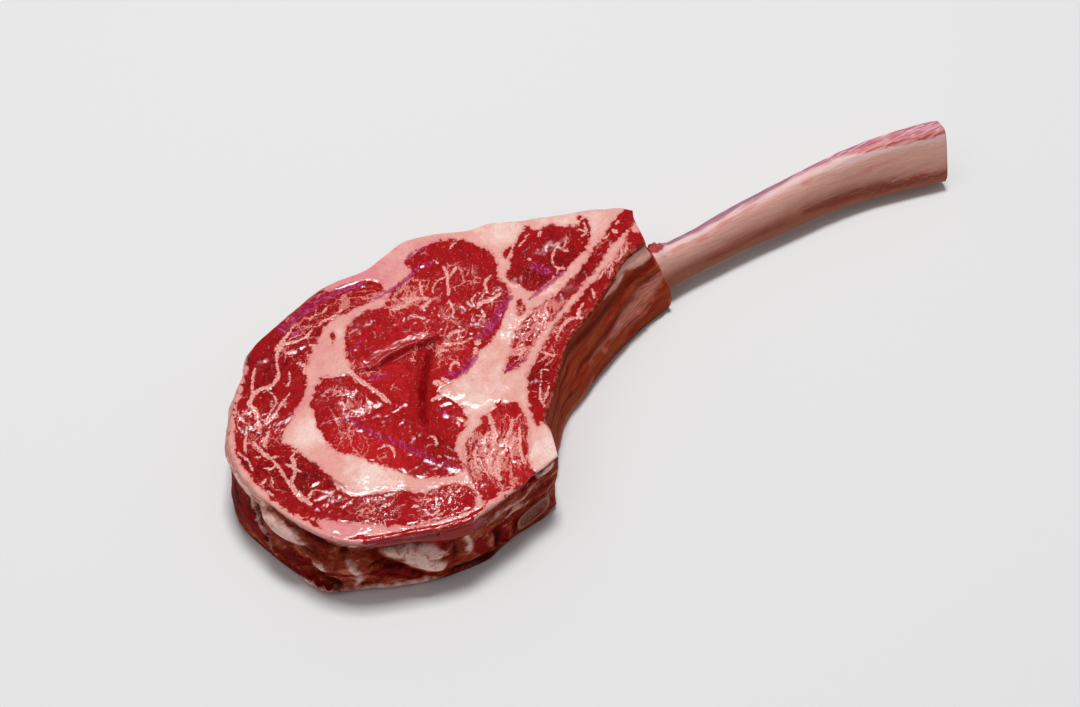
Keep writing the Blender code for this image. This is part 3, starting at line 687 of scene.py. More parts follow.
def grain_of(places):
    """Millimetres along and across the meat's grain: it follows each muscle."""
    away = places - GRAIN_CENTRE
    rings = np.stack([np.arctan2(away[:, 1], -away[:, 0]) * CAP_RADIUS, np.hypot(*away.T)], axis=1)
    in_cap = inside(places, closed_outline(CAP_MUSCLE, ROUGH_OUTLINE_STEP))
    grain = np.where(in_cap[:, None], rings, turned(places, GRAIN_CENTRE, EYE_GRAIN))
    for outline, degrees, stretch in STRAIGHT_GRAINS:
        held = inside(places, closed_outline(outline, ROUGH_OUTLINE_STEP))
        straight = turned(places, GRAIN_CENTRE, degrees) * (stretch, 1)
        grain = np.where(held[:, None], straight, grain)
    return grain


def cut_face_height(places, marks):
    """Height of the upper cut face in millimetres: muscles swell a little between the fat."""
    height = THICKNESS + cad_relief(places)
    flat = np.c_[places, np.zeros(len(places))]
    lean = smoothstep(-0.6, 0.8, marks["lean"])
    height += (0.22 * lumps(flat, 4.5, 1) + 0.10 * lumps(flat, 1.9, 2)) * lean
    height += (0.20 * lumps(flat, 7.0, 3) + 0.08 * lumps(flat, 2.2, 4)) * (1 - lean)
    height += 0.12 * marks["glitter"] * lumps(flat, 1.5, 5)
    # The knife left shallow ridges across the muscles, 5 mm apart.
    ridges = lumps(turned(places, (0, 0), 4) @ ((1 / 5, 0, 0), (0, 1, 0)), 2.6, 6)
    height += (0.05 + 0.13 * lean) * ridges
    height -= 0.20 * np.exp(-((marks["lean"] / 0.9) ** 2))
    height += 0.15 * smoothstep(-0.8, 0.4, marks["vein"]) * lean
    height += 0.15 * smoothstep(-1.6, 0.6, marks["silver"])
    up, near = near_lobe_edge(places)
    height += 0.7 * near * np.exp(-(((up - 1.6) / 1.3) ** 2))
    height -= 0.8 * near * np.exp(-(((up + 0.8) / 1.2) ** 2))
    return height


# ---------------------------------------------------------------- marks on the side wall

# Tissue on the side wall: half width, then points (plan x, plan y, height).
WALL_FAT = (
    (4.6, (-187, 42, 40), (-200, 27, 40), (-211, 5, 40), (-213.5, -10, 40), (-212, -21, 40),
     (-209, -31, 41)),
    (6.2, (-210, -29, 34), (-207.5, -37, 32.5), (-205, -44, 31), (-202.5, -50.5, 29)),
    (1.1, (-213, -18, 37), (-213.5, -24, 26), (-212.5, -29, 16), (-210, -36, 8)),
    (4.0, (-171, -76.8, 32), (-163, -80.5, 30.5), (-154, -84.5, 28), (-145, -87.6, 26)),
    (4.4, (-162, -82, 27), (-155, -85, 22.5), (-149, -87, 17), (-146, -88, 13)),
    (1.5, (-193, -65, 44), (-184, -70, 43), (-174, -75, 43)),
    (1.6, (-190, -68, 3), (-180, -72.5, 3), (-170, -77, 3), (-158, -82, 3), (-146, -86, 3)),
    (1.5, (-186, -71, 39), (-178, -75, 38), (-168, -79, 36), (-160, -82, 33)),
    (1.3, (-203, -52, 3), (-196, -62, 3.5), (-188, -69, 4)),
    (1.2, (-187, -70, 27), (-184, -72, 20), (-183, -72, 12), (-185, -71, 6)),
    (1.1, (-134, -88.8, 36), (-132, -89, 28), (-131, -89, 18)),
    (0.8, (-119, -87.7, 33), (-110, -86, 34.5), (-100, -83.7, 33.5), (-92, -82, 35)),
    (1.0, (-112, -86, 26), (-104, -84.5, 28), (-97, -83, 26)),
    (2.0, (-79, -78, 41), (-84, -79.6, 40), (-89, -81, 42)),
    (1.6, (-199, -57, 18), (-194, -64, 20)),
    # The back, where the fat of the back lies in folds under the rim.
    (4.4, (22, 47, 42), (2, 53.5, 40), (-20, 61, 41), (-40, 68, 39), (-62, 75, 39), (-84, 77, 41)),
    (5.2, (-78, 78, 40), (-100, 72, 38), (-122, 72, 40), (-142, 68, 38), (-162, 60, 41), (-184, 45, 41)),
    (3.4, (14, 50, 25), (-2, 55, 20), (-18, 60, 19)),
    (5.0, (-58, 74, 20), (-72, 77, 17), (-86, 76, 18)),
    (3.6, (-128, 71, 22), (-140, 69, 17), (-152, 64, 19)),
    (2.6, (-176, 52, 16), (-190, 40, 20)),
    (1.6, (-30, 65, 4), (-52, 71, 5), (-76, 77, 3.5), (-104, 71, 3.5)),
)
WALL_LEAN = (
    (9.5, (-217.5, 2, 22), (-216.5, -8, 21), (-214, -19, 20), (-212.5, -28, 13)),
    (3.6, (-211, -35, 9), (-204, -50, 14), (-199, -59, 16), (-195, -66, 16)),
    (2.6, (-206, -50, 6), (-199, -62, 5), (-192, -68.5, 4)),
    (5.4, (-177, -76, 19), (-169, -79, 18), (-162, -82, 13), (-157, -84, 8)),
    (3.2, (-147, -86, 42), (-144, -87.3, 35), (-144, -87.6, 28)),
    (3.4, (-127, -89, 26), (-124, -88.6, 15), (-121, -88, 5)),
    (3.4, (-118, -87.4, 24), (-112, -86, 14), (-109, -85.4, 5)),
    (2.6, (-95, -82.3, 40), (-90, -81.2, 38)),
    (3.0, (-88, -80.8, 27), (-81, -79, 28)),
    (2.2, (-104, -84.5, 20), (-102, -84, 10)),
    (2.0, (-81, -78.6, 12), (-79, -78, 8)),
    (3.6, (-36, 67, 24), (-48, 69, 22), (-58, 73, 13)),
    (3.2, (-92, 75, 24), (-104, 71, 23), (-114, 71, 20)),
    (2.6, (-150, 64, 27), (-164, 59, 29)),
)
# Dark clefts and hollows of the side wall, pushed in and darkened with painted shade: half width, then
# points.
SHADED_WALL_CLEFTS = (
    (2.4, (-199, -58.5, 13), (-198, -62, 11), (-194.8, -66.4, 9), (-192, -68.4, 6)),
    (1.0, (-213, -22, 33), (-213.8, -27, 22), (-212, -33, 12)),
    (2.0, (-203.5, -47, 38), (-200.5, -52.5, 39.5), (-196, -60, 39), (-190.5, -66, 35),
     (-187, -69.5, 31.5)),
    (1.0, (-205, -46, 28), (-201, -54, 25), (-196, -61, 24)),
    (1.6, (-180, -72, 35), (-170, -77, 34.6), (-160, -81, 34), (-151, -84, 33)),
    (0.9, (-179, -75, 23), (-172, -78.5, 26), (-164, -81.5, 20), (-157, -84, 12), (-154, -85, 7)),
    (0.7, (-174, -77, 17), (-168, -80, 14), (-162, -82, 9)),
    (1.0, (-140, -87.8, 37), (-138.5, -88.2, 28), (-138, -88.4, 18)),
    (1.3, (-114.5, -86.3, 22), (-114, -86, 12), (-114.5, -86.5, 3)),
    (3.0, (-141, -88, 6), (-134, -88.6, 5), (-126, -88.7, 4), (-117, -87, 2)),
    (0.8, (-99, -83.4, 40), (-92, -81.6, 43), (-85, -80, 42)),
    (0.8, (-87, -80.6, 18), (-82, -79, 16), (-79, -78.2, 20)),
)
# The skin over the rib: pale fat at its upper end, a painted highlight along the rib's bulge, and a pink
# flush at the foot.
SKIN_PALE = (
    (5.4, (35, 18, 41), (30, 14.5, 40.5), (25, 12, 40.5), (18, 9, 42), (8, 4.5, 44)),
    (2.0, (14, 6, 37.5), (5, 1.5, 39), (-4, -3, 41)),
)
# Painted highlight where the rib's bulge faces the light: half width, then points (plan x, plan y,
# height).
SKIN_PAINTED_HIGHLIGHT = (
    (5.4, (37, 5, 25), (28, 2, 23), (16, -2, 21), (5, -6.6, 20), (-6, -12, 19)),
    (1.8, (0, -9, 20), (-14, -16, 20), (-25, -21, 18)),
    (1.6, (28, 0, 14), (16, -4, 14), (4, -9, 13)),
)
SKIN_PINK = (
    (2.2, (-56, -46, 6), (-42.5, -32, 3), (-28, -25, 4.5), (-22, -22, 7)),
    (1.5, (-13.5, -16.3, 16.5), (-10.5, -15.6, 15)),
    (1.0, (15, -3.8, 17), (17, -3.4, 16.5)),
    (0.9, (20.5, -3.4, 13), (22, -3, 13)),
    (1.0, (26, -0.6, 16.5), (28, -0.2, 15.5)),
    (1.5, (38, 14, 36), (39.4, 10, 29), (40, 7, 20), (39.5, 3, 13), (38, 1, 6)),
    (1.6, (-71.5, -57, 43), (-70, -57, 38)),
)
# Dark red streaks of the skin along the rib, with painted shade in the channel under the rim and along
# the foot: half width, then points.
SKIN_DARK = (
    (2.7, (36, 10, 34), (30, 8.5, 33), (22, 5, 32), (10, 0, 32), (-3, -7, 33), (-15, -13, 34),
     (-26, -18, 36), (-38, -25, 38), (-50, -35, 40)),
    (2.0, (33, 8, 28), (20, 3.5, 26), (8, -1.5, 25), (-6, -9, 24), (-20, -17, 23), (-34, -25, 22)),
    (2.2, (-36, -27, 30), (-46, -34, 30), (-56, -44, 30), (-64, -53, 30)),
    (1.6, (-40, -30, 16), (-52, -40, 17), (-62, -51, 16)),
    (0.9, (38, 0, 1), (20, -5, 1), (0, -12, 1), (-20, -21, 1)),
)


def along_wall(strokes):
    """Strokes through points in space, as strokes in distance round the side wall and height."""
    return [(width, *(on_wall(*point) for point in points)) for width, *points in strokes]


def on_strokes(gone, height, strokes, soft):
    """How far the strokes cover each place of the side wall, from 0 to 1, with ragged edges."""
    spot = np.stack([gone, height], axis=1)
    ragged = 0.7 * lumps(np.c_[gone, height, gone * 0], 2.6, 51)
    return smoothstep(-soft, soft, stroke_depth(spot, along_wall(strokes)) + ragged)


def wall_marks(places, gone, height):
    """What the materials read on the side wall."""
    spot = np.stack([gone, height], axis=1)
    lean = np.full(len(places), -3.0)
    for name, outline in LAYERS[1:]:
        depth = depth_inside(places, closed_outline(outline, OUTLINE_STEP))
        # Fat and skin lie over the cap and the chine muscle here.
        covered = 4.0 if name in ("cap_muscle", "chine_muscle") else 0.0
        lean = np.maximum(lean, np.clip(depth, -DEPTH_LIMIT, 3) - covered)
    lean = np.maximum(lean, stroke_depth(spot, along_wall(WALL_LEAN)))
    fat = stroke_depth(spot, along_wall(WALL_FAT))
    lean = np.minimum(lean, -fat)
    solid = np.c_[places, height]
    none = np.full(len(places), -STROKE_FAR)
    ragged = 1.3 * lumps(solid, 2.6, 52) + 0.7 * lumps(solid, 1.2, 54)
    pale = np.maximum(smoothstep(-1.8, 1.8, fat + ragged),
                      on_strokes(gone, height, SKIN_PALE, 2.0))
    # The skin's painted highlight along the rib's bulge goes in with the pale fat.
    pale = np.maximum(pale, 0.4 * on_strokes(gone, height, SKIN_PAINTED_HIGHLIGHT, 3.0))
    # Painted shade in the side wall's clefts, and the skin's dark streaks with the painted shade of its
    # channel.
    dark = np.maximum(on_strokes(gone, height, SHADED_WALL_CLEFTS, 1.1),
                      on_strokes(gone, height, SKIN_DARK, 1.8))
    return {
        "lean": lean, "vein": none, "silver": none, "glitter": np.full(len(places), 0.15),
        "crease": dark, "lean_tone": -0.45 + 0.3 * lumps(solid, 12, 11),
        "fat_tone": 0.05 + 0.4 * lumps(solid, 9, 12),
        "grain": np.stack([height, gone], axis=1), "marble": np.full(len(places), 0.3),
        # shade is 1 on the side wall: there it darkens the lean and the clefts with painted shade, and
        # the fat gives way to the wall's own tissue.
        "shade": np.ones(len(places)), "pale": pale,
        "pink": on_strokes(gone, height, SKIN_PINK, 1.0),
    }


def wall_forms(gone, height):
    """How far the side wall's folds and fibres stand out beyond the CAD's wall, in millimetres."""
    spot = np.stack([gone, height], axis=1)
    out = 2.3 * smoothstep(-2.0, 4.5, stroke_depth(spot, along_wall(WALL_FAT)))
    out += 0.7 * smoothstep(-1.5, 2.0, stroke_depth(spot, along_wall(WALL_LEAN[1:5])))
    out -= 2.0 * smoothstep(-1.8, 0.8, stroke_depth(spot, along_wall(SHADED_WALL_CLEFTS)))
    out += 0.8 * smoothstep(-1.2, 0.8, stroke_depth(spot, along_wall(SKIN_PINK)))
    flat = np.stack([gone, height, gone * 0], axis=1)
    out += 0.8 * lumps(flat * (0.6, 1, 1), 8, 21) + 0.5 * lumps(flat * (0.5, 1, 1), 3.6, 22)
    out += 0.15 * lumps(flat, 1.8, 23)
    # The saw left the chine face flat round the rib's head.
    head = np.hypot((gone - RIB_HEAD[0]) / 15, (height - RIB_HEAD[1]) / 11)
    out = out * smoothstep(0.75, 1.5, head) - 0.4 * (1 - smoothstep(0.75, 1.2, head))
    ends = smoothstep(0.0, 3.0, height) * (1 - smoothstep(42.0, 44.5, height))
    return out * ends


# ---------------------------------------------------------------- the steak, cut into its pieces

def lattice(low, high, step):
    """Points of a triangular lattice."""
    rows = int((high[1] - low[1]) / (step * 0.866)) + 1
    across = int((high[0] - low[0]) / step) + 1
    x, y = np.meshgrid(np.arange(across, dtype=float), np.arange(rows, dtype=float))
    x += (y % 2) * 0.5
    return np.stack([low[0] + x.ravel() * step, low[1] + y.ravel() * step * 0.866], axis=1)


def triangulated(points, edges):
    """Triangles over points, with these edges kept. Also where each output point came from."""
    out = delaunay_2d_cdt([Vector(p) for p in points], edges, [], 0, 1e-4, True)
    places = np.array([tuple(v) for v in out[0]])
    triangles = np.array([f for f in out[2] if len(f) == 3])
    origin = np.array([min(o) if o else -1 for o in out[3]])
    return places, triangles, origin


def loop_edges(start, count):
    return [(start + k, start + (k + 1) % count) for k in range(count)]


def found_at(origin, count):
    """Where each of the first points came out of the triangulation, or -1."""
    where = np.full(count, -1)
    for here, source in enumerate(origin):
        if 0 <= source < count:
            where[source] = here
    return where


def doubled_areas(places, triangles):
    """Twice the area of each flat triangle: more than nothing where it faces up."""
    corners = places[triangles]
    u, v = corners[:, 1] - corners[:, 0], corners[:, 2] - corners[:, 0]
    return u[:, 0] * v[:, 1] - u[:, 1] * v[:, 0]


def facing_up(places, triangles):
    wrong = doubled_areas(places, triangles) < 0
    return np.where(wrong[:, None], triangles[:, ::-1], triangles)


def band_faces(first, rows, count):
    """The faces of a closed band of rows, one above the other, with so many points each."""
    faces = []
    for low in range(first, first + (rows - 1) * count, count):
        for k in range(count):
            after = (k + 1) % count
            faces.append((low + k, low + after, low + count + after, low + count + k))
    return faces


def regions_of(places, triangles, ring, step):
    """Which layer each triangle belongs to, and -1 outside the ring. The last one is the fat."""
    middles = places[triangles].mean(axis=1)
    region = np.full(len(triangles), len(LAYERS))
    for index in reversed(range(len(LAYERS))):
        region[inside(middles, closed_outline(LAYERS[index][1], step))] = index
    region[~inside(middles, ring)] = -1
    return region


def directed_edges(triangles):
    return np.stack([triangles, np.roll(triangles, -1, axis=1)], axis=2).reshape(-1, 2)


def neighbours(triangles):
    """Pairs of triangles that share an edge, and that edge."""
    edges = np.sort(directed_edges(triangles), axis=1)
    owner = np.repeat(np.arange(len(triangles)), 3)
    order = np.lexsort((edges[:, 1], edges[:, 0]))
    edges, owner = edges[order], owner[order]
    same = (edges[1:] == edges[:-1]).all(axis=1)
    first = np.flatnonzero(same)
    return owner[first], owner[first + 1], edges[first]


def islands(count, a, b):
    """Numbers for groups of triangles that are joined by the pairs a, b."""
    group = np.arange(count)
    while True:
        low = np.minimum(group[a], group[b])
        before = group.copy()
        np.minimum.at(group, a, low)
        np.minimum.at(group, b, low)
        group = group[group]
        if (group == before).all():
            return group


def without_crumbs(places, triangles, region, least=6.0):
    """Regions again, with islands under so many square millimetres given to their neighbour."""
    area = np.abs(doubled_areas(places, triangles)) / 2
    a, b, _ = neighbours(triangles)
    for _ in range(4):
        same = region[a] == region[b]
        group = islands(len(triangles), a[same], b[same])
        size = np.bincount(group, weights=area, minlength=len(triangles))
        small = (size[group] < least) & (region >= 0)
        if not small.any():
            break
        for one, other in ((a, b), (b, a)):
            take = small[one] & ~small[other] & (region[other] >= 0)
            region[one[take]] = region[other[take]]
    return region


def upper_face():
    """The upper cut face: its points, its triangles, the layer of each one, and the rim."""
    ring = wall_ring(THICKNESS, RIM_ROUNDING)
    loops = [ring, *(closed_outline(outline, RING_STEP) for _, outline in LAYERS)]
    edges, count = [], 0
    for loop in loops:
        edges += loop_edges(count, len(loop))
        count += len(loop)
    grid = lattice(ring.min(axis=0), ring.max(axis=0), FACE_STEP)
    grid = grid[inside(grid, ring)]
    clear = np.ones(len(grid), bool)
    for loop in loops:
        clear &= distance_to_path(grid, loop, closed=True)[0] > FACE_STEP * 0.45
    places, triangles, _ = triangulated(np.concatenate([*loops, grid[clear]]), edges)
    region = regions_of(places, triangles, ring, RING_STEP)
    region = without_crumbs(places, triangles, region)
    triangles, region = triangles[region >= 0], region[region >= 0]
    return places, facing_up(places, triangles), region, ring


def outer_edges(triangles):
    """Edges with one triangle, in the triangle's own direction."""
    ways = directed_edges(triangles)
    flat = np.sort(ways, axis=1)
    keys = flat[:, 0].astype(np.int64) * (flat.max() + 1) + flat[:, 1]
    _, first, count = np.unique(keys, return_index=True, return_counts=True)
    return ways[first[count == 1]]


def column_index(places, ring):
    """Where places on the ring lie on it, counted in columns."""
    start, end = ring, np.roll(ring, -1, axis=0)
    best = np.full(len(places), np.inf)
    index = np.zeros(len(places))
    for k in range(len(ring)):
        way = end[k] - start[k]
        t = np.clip(((places - start[k]) @ way) / (way @ way), 0, 1)
        gone = np.hypot(*(places - start[k] - t[:, None] * way).T)
        nearer = gone < best
        best, index = np.where(nearer, gone, best), np.where(nearer, k + t, index)
    return index, best


def wall_levels():
    """Heights of the wall's rows, in millimetres, from above the foot to the rounded rim."""
    top, (*foot, first) = THICKNESS - RIM_ROUNDING, FOOT_LEVELS
    return np.array([*foot, *np.linspace(first, top, round((top - first) / WALL_STEP) + 1)])


def uncut_steak():
    """Both cut faces with the layer of each triangle, and the posts that join them.

    A post is a point of a seam or of the rim, with its foot on the lower face.
    """
    places, triangles, region, ring = upper_face()
    marks = cut_face_marks(places, 0.0)
    rim_edges = outer_edges(triangles)
    on_rim = np.zeros(len(places), bool)
    on_rim[rim_edges.ravel()] = True
    a, b, shared = neighbours(triangles)
    split = region[a] != region[b]
    on_seam = np.zeros(len(places), bool)
    on_seam[shared[split].ravel()] = True

    # The lower face keeps the columns of the seams and of the rim, on the foot's outline.
    posts = np.flatnonzero(on_rim | on_seam)
    post_of = np.full(len(places), -1)
    post_of[posts] = np.arange(len(posts))
    index, away = column_index(places[posts], ring)
    columns = wall_columns(index)
    foot = wall_place(columns, np.zeros(len(posts)))
    pull = 1 - smoothstep(0.0, 9.0, away)
    skin_line = distance_to_path(places[posts], closed_outline(MEMBRANE, 2.0), closed=True)[0] < 0.3
    pull[skin_line & ~on_rim[posts]] = 0.0
    at_ring = wall_place(columns, np.full(len(posts), THICKNESS)) - columns["normal"] * RIM_ROUNDING
    low_posts = places[posts] + pull[:, None] * (foot - at_ring)
    low_posts[on_rim[posts]] = foot[on_rim[posts]]

    seam_edges = [tuple(e) for e in np.concatenate([post_of[shared[split]], post_of[rim_edges]])]
    foot_ring = wall_ring(0.0)
    grid = lattice(foot_ring.min(axis=0), foot_ring.max(axis=0), BASE_STEP)
    grid = grid[inside(grid, foot_ring)]
    clear = distance_to_path(grid, foot_ring, closed=True)[0] > BASE_STEP * 0.4
    near_post = np.full(len(grid), np.inf)
    for chunk in np.split(low_posts, range(POSTS_AT_A_TIME, len(low_posts), POSTS_AT_A_TIME)):
        gap = np.hypot(grid[:, None, 0] - chunk[None, :, 0], grid[:, None, 1] - chunk[None, :, 1])
        near_post = np.minimum(near_post, gap.min(axis=1))
    grid = grid[clear & (near_post > BASE_STEP * 0.45)]
    low_places, low_triangles, origin = triangulated(np.concatenate([low_posts, grid]), seam_edges)
    low_of_post = found_at(origin, len(posts))
    low_region = base_regions(low_places, low_triangles, low_of_post, seam_edges, foot_ring)
    keep = low_region >= 0
    return {
        "places": places, "triangles": triangles, "region": region, "marks": marks,
        "height": cut_face_height(places, marks), "rim_edges": rim_edges, "on_rim": on_rim,
        "posts": posts, "post_of": post_of, "columns": columns, "low_of_post": low_of_post,
        "low_places": low_places, "low_triangles": low_triangles[keep],
        "low_region": low_region[keep], "low_marks": cut_face_marks(low_places, 1.0),
    }


def base_regions(places, triangles, low_of_post, seam_edges, foot_ring):
    """Layers of the lower face: each patch between seams takes the layer of most of its area."""
    guess = regions_of(places, triangles, foot_ring, LOW_OUTLINE_STEP)
    walls = {tuple(sorted((low_of_post[i], low_of_post[j]))) for i, j in seam_edges}
    a, b, shared = neighbours(triangles)
    open_edge = np.array([tuple(e) not in walls for e in shared])
    group = islands(len(triangles), a[open_edge], b[open_edge])
    votes = np.zeros((len(triangles), len(LAYERS) + 2))
    np.add.at(votes, (group, guess + 1), np.abs(doubled_areas(places, triangles)))
    return votes[group].argmax(axis=1) - 1


def add_rounded_rows(rows, heights, place, height):
    """Adds the rows of the rounded rim, from the wall's last row to the cut face."""
    shoulder, base = rows[-1], heights[-1]
    for share in RIM_ARC:
        angle = share * math.pi / 2
        rows.append(shoulder + (place - shoulder) * (1 - math.cos(angle)))
        heights.append(base + (height - base) * math.sin(angle))


def rim_column(columns, post_place, post_height):
    """Rows of points up the side wall at its columns, from above the foot to under the top."""
    rows, heights = [], []
    for level in wall_levels():
        height = level * (post_height - RIM_ROUNDING) / (THICKNESS - RIM_ROUNDING)
        out = wall_forms(columns["gone"], height)[:, None]
        rows.append(wall_place(columns, height) + columns["normal"] * out)
        heights.append(height)
    add_rounded_rows(rows, heights, post_place, post_height)
    return np.stack(rows), np.stack(heights)


def mixed_marks(low, high, share):
    """Marks between two sets of marks."""
    out = {}
    for key in low:
        part = share[:, None] if low[key].ndim == 2 else share
        out[key] = low[key] * (1 - part) + high[key] * part
    return out


def taken(marks, rows):
    return {key: value[rows] for key, value in marks.items()}


def joined(parts):
    return {key: np.concatenate([part[key] for part in parts]) for key in parts[0]}


def to_frame(places, heights):
    """Points of the part's frame, in metres, from plan millimetres and heights."""
    return np.c_[places - PLAN_CENTRE, heights] * MM


def cut_into_pieces(steak):
    """name -> (points in metres, faces, marks): each piece closed, with its own seam walls."""
    posts, post_of, on_rim = steak["posts"], steak["post_of"], steak["on_rim"]
    rim_posts = np.flatnonzero(on_rim[posts])
    columns = {key: value[rim_posts] for key, value in steak["columns"].items()}
    source = posts[rim_posts]
    wall, wall_height = rim_column(columns, steak["places"][source], steak["height"][source])
    rows = len(wall)
    flat = wall.reshape(-1, 2)
    tall = wall_height.reshape(-1)
    gone = np.tile(columns["gone"], rows)
    marks = wall_marks(flat, gone, tall)
    rim_marks = taken(steak["marks"], np.tile(source, rows))
    # The cut face's colours go on over the rounded rim, down to a ragged line.
    ragged = 0.5 * lumps(np.c_[gone, tall, gone * 0], 3.0, 31)
    share = smoothstep(THICKNESS - 2.6, THICKNESS - 0.9, tall + ragged)
    marks = mixed_marks(marks, rim_marks, share)
    row_of = np.full(len(posts), -1)
    row_of[rim_posts] = np.arange(len(rim_posts))

    top_points = to_frame(steak["places"], steak["height"])
    low_points = to_frame(steak["low_places"], np.zeros(len(steak["low_places"])))
    wall_points = to_frame(flat, tall)
    points = np.concatenate([top_points, low_points, wall_points])
    every_mark = joined([steak["marks"], steak["low_marks"], marks])
    low_start, wall_start = len(top_points), len(top_points) + len(low_points)

    def low_of(vertex):
        return low_start + steak["low_of_post"][post_of[vertex]]

    def column(vertex, has_wall):
        """Points of a post from its foot to its top."""
        row = row_of[post_of[vertex]]
        if row < 0 or not has_wall:
            return [low_of(vertex), vertex]
        between = wall_start + row + np.arange(rows) * len(rim_posts)
        return [low_of(vertex), *between, vertex]

    pieces = {}
    names = [name for name, _ in LAYERS] + ["seam_fat"]
    rim_set = {tuple(e) for e in steak["rim_edges"]}
    for index, name in enumerate(names):
        mine = steak["triangles"][steak["region"] == index]
        faces = [tuple(t) for t in mine]
        low = steak["low_triangles"][steak["low_region"] == index]
        up = doubled_areas(steak["low_places"], low) > 0
        low[up] = low[up][:, ::-1]
        faces += [tuple(t + low_start) for t in low]
        border = outer_edges(mine)
        walled = {v for e in border if tuple(e) in rim_set for v in e}
        for p, q in border:
            if (p, q) in rim_set:
                left, right = column(p, True), column(q, True)
                for k in range(len(left) - 1):
                    faces.append((left[k], right[k], right[k + 1], left[k + 1]))
            else:
                left, right = column(p, p in walled), column(q, q in walled)
                faces.append((*left[:1], *right, *reversed(left[1:])))
        used = np.unique(np.concatenate([np.array(f) for f in faces]))
        new_index = np.full(len(points), -1)
        new_index[used] = np.arange(len(used))
        pieces[name] = (points[used], [tuple(new_index[list(f)]) for f in faces],
                        taken(every_mark, used))
    return pieces


def mesh_piece(name, points, faces, marks, surface, sharp=math.radians(52)):
    """A piece of the steak with its marks kept on its points."""
    mesh = bpy.data.meshes.new(name)
    mesh.from_pydata(points.tolist(), [], [tuple(int(i) for i in f) for f in faces])
    mesh.validate()
    for key, values in marks.items():
        if values.ndim == 2:
            layer = mesh.attributes.new(key, "FLOAT_VECTOR", "POINT")
            values = np.c_[values, np.zeros(len(values))] if values.shape[1] == 2 else values
            layer.data.foreach_set("vector", values.astype(np.float32).ravel())
        else:
            layer = mesh.attributes.new(key, "FLOAT", "POINT")
            layer.data.foreach_set("value", values.astype(np.float32))
    mesh.polygons.foreach_set("use_smooth", np.ones(len(mesh.polygons), bool))
    mesh.set_sharp_from_angle(angle=sharp)
    mesh.materials.append(surface)
    piece = bpy.data.objects.new(name, mesh)
    bpy.context.scene.collection.objects.link(piece)
    return piece


def lip_piece():
    """The lean strip that lips over the front of the rim, as points, faces and marks."""
    ring = wall_ring(THICKNESS, RIM_ROUNDING)
    outline = closed_outline(LIP_MEAT, RING_STEP)
    held = np.flatnonzero(inside(ring, outline))
    from_ring = distance_to_path(outline, ring, closed=True)[0]
    within = outline[inside(outline, ring) & (from_ring > 0.5)]
    start, end = ring[held[0]], ring[held[-1]]
    inner = within[np.argsort((within - end) @ (start - end))]
    columns = wall_columns(held.astype(float))
    loop = np.concatenate([ring[held], inner])
    count, outer = len(loop), len(held)
    ends = np.minimum(np.arange(outer), outer - 1 - np.arange(outer)) * RING_STEP
    fade = smoothstep(0, 12, ends)

    low = THICKNESS - LIP_DEPTH
    rows, heights = [], []
    for level in np.linspace(low, THICKNESS - RIM_ROUNDING, LIP_ROWS):
        up = (level - low) / LIP_DEPTH
        bulge = fade * (2.2 * math.sin(math.pi * min(1, 0.15 + up)) ** 0.7 - 0.6)
        placed = wall_place(columns, np.full(outer, level)) + columns["normal"] * bulge[:, None]
        rows.append(np.concatenate([placed, inner]))
        heights.append(np.full(count, level))
    grid = lattice(loop.min(axis=0), loop.max(axis=0), FACE_STEP)
    grid = grid[inside(grid, loop) & (distance_to_path(grid, loop, closed=True)[0] > 0.3)]
    places, triangles, origin = triangulated(np.concatenate([loop, grid]), loop_edges(0, count))
    triangles = facing_up(places, triangles[inside(places[triangles].mean(axis=1), loop)])
    marks = cut_face_marks(places, 0.0)
    edge = distance_to_path(places, loop, closed=True)[0]
    height = cut_face_height(places, marks) + 0.5 * smoothstep(0.0, 2.0, edge)
    rim_first = found_at(origin, count)
    add_rounded_rows(rows, heights, loop, height[rim_first])
    side, tall = np.concatenate(rows), np.concatenate(heights)
    points = np.concatenate([to_frame(places, height), to_frame(side, tall)])
    gone = np.tile(np.concatenate([columns["gone"], np.zeros(len(inner))]), len(rows))
    first = len(places)
    faces = [tuple(t) for t in triangles] + band_faces(first, len(rows), count)
    last = first + (len(rows) - 1) * count
    for k in range(count):
        after = (k + 1) % count
        faces.append((last + k, last + after, int(rim_first[after]), int(rim_first[k])))
    faces.append(tuple(first + k for k in reversed(range(count))))
    side_marks = wall_marks(side, gone, tall)
    for key, value in (("lean", 4.0), ("lean_tone", -0.1), ("crease", 0.0), ("glitter", 0.5),
                       ("pale", 0.0)):
        side_marks[key] = np.full(len(side), value)
    # Painted shade: the lip's side darkens downwards, into the shade under its overhang.
    side_marks["shade"] = 0.6 * (1 - smoothstep(low + 2, THICKNESS - 3, tall))
    marks["lean"] = np.maximum(marks["lean"], 1.2)
    return points, faces, joined([marks, side_marks])


# ---------------------------------------------------------------- the rib

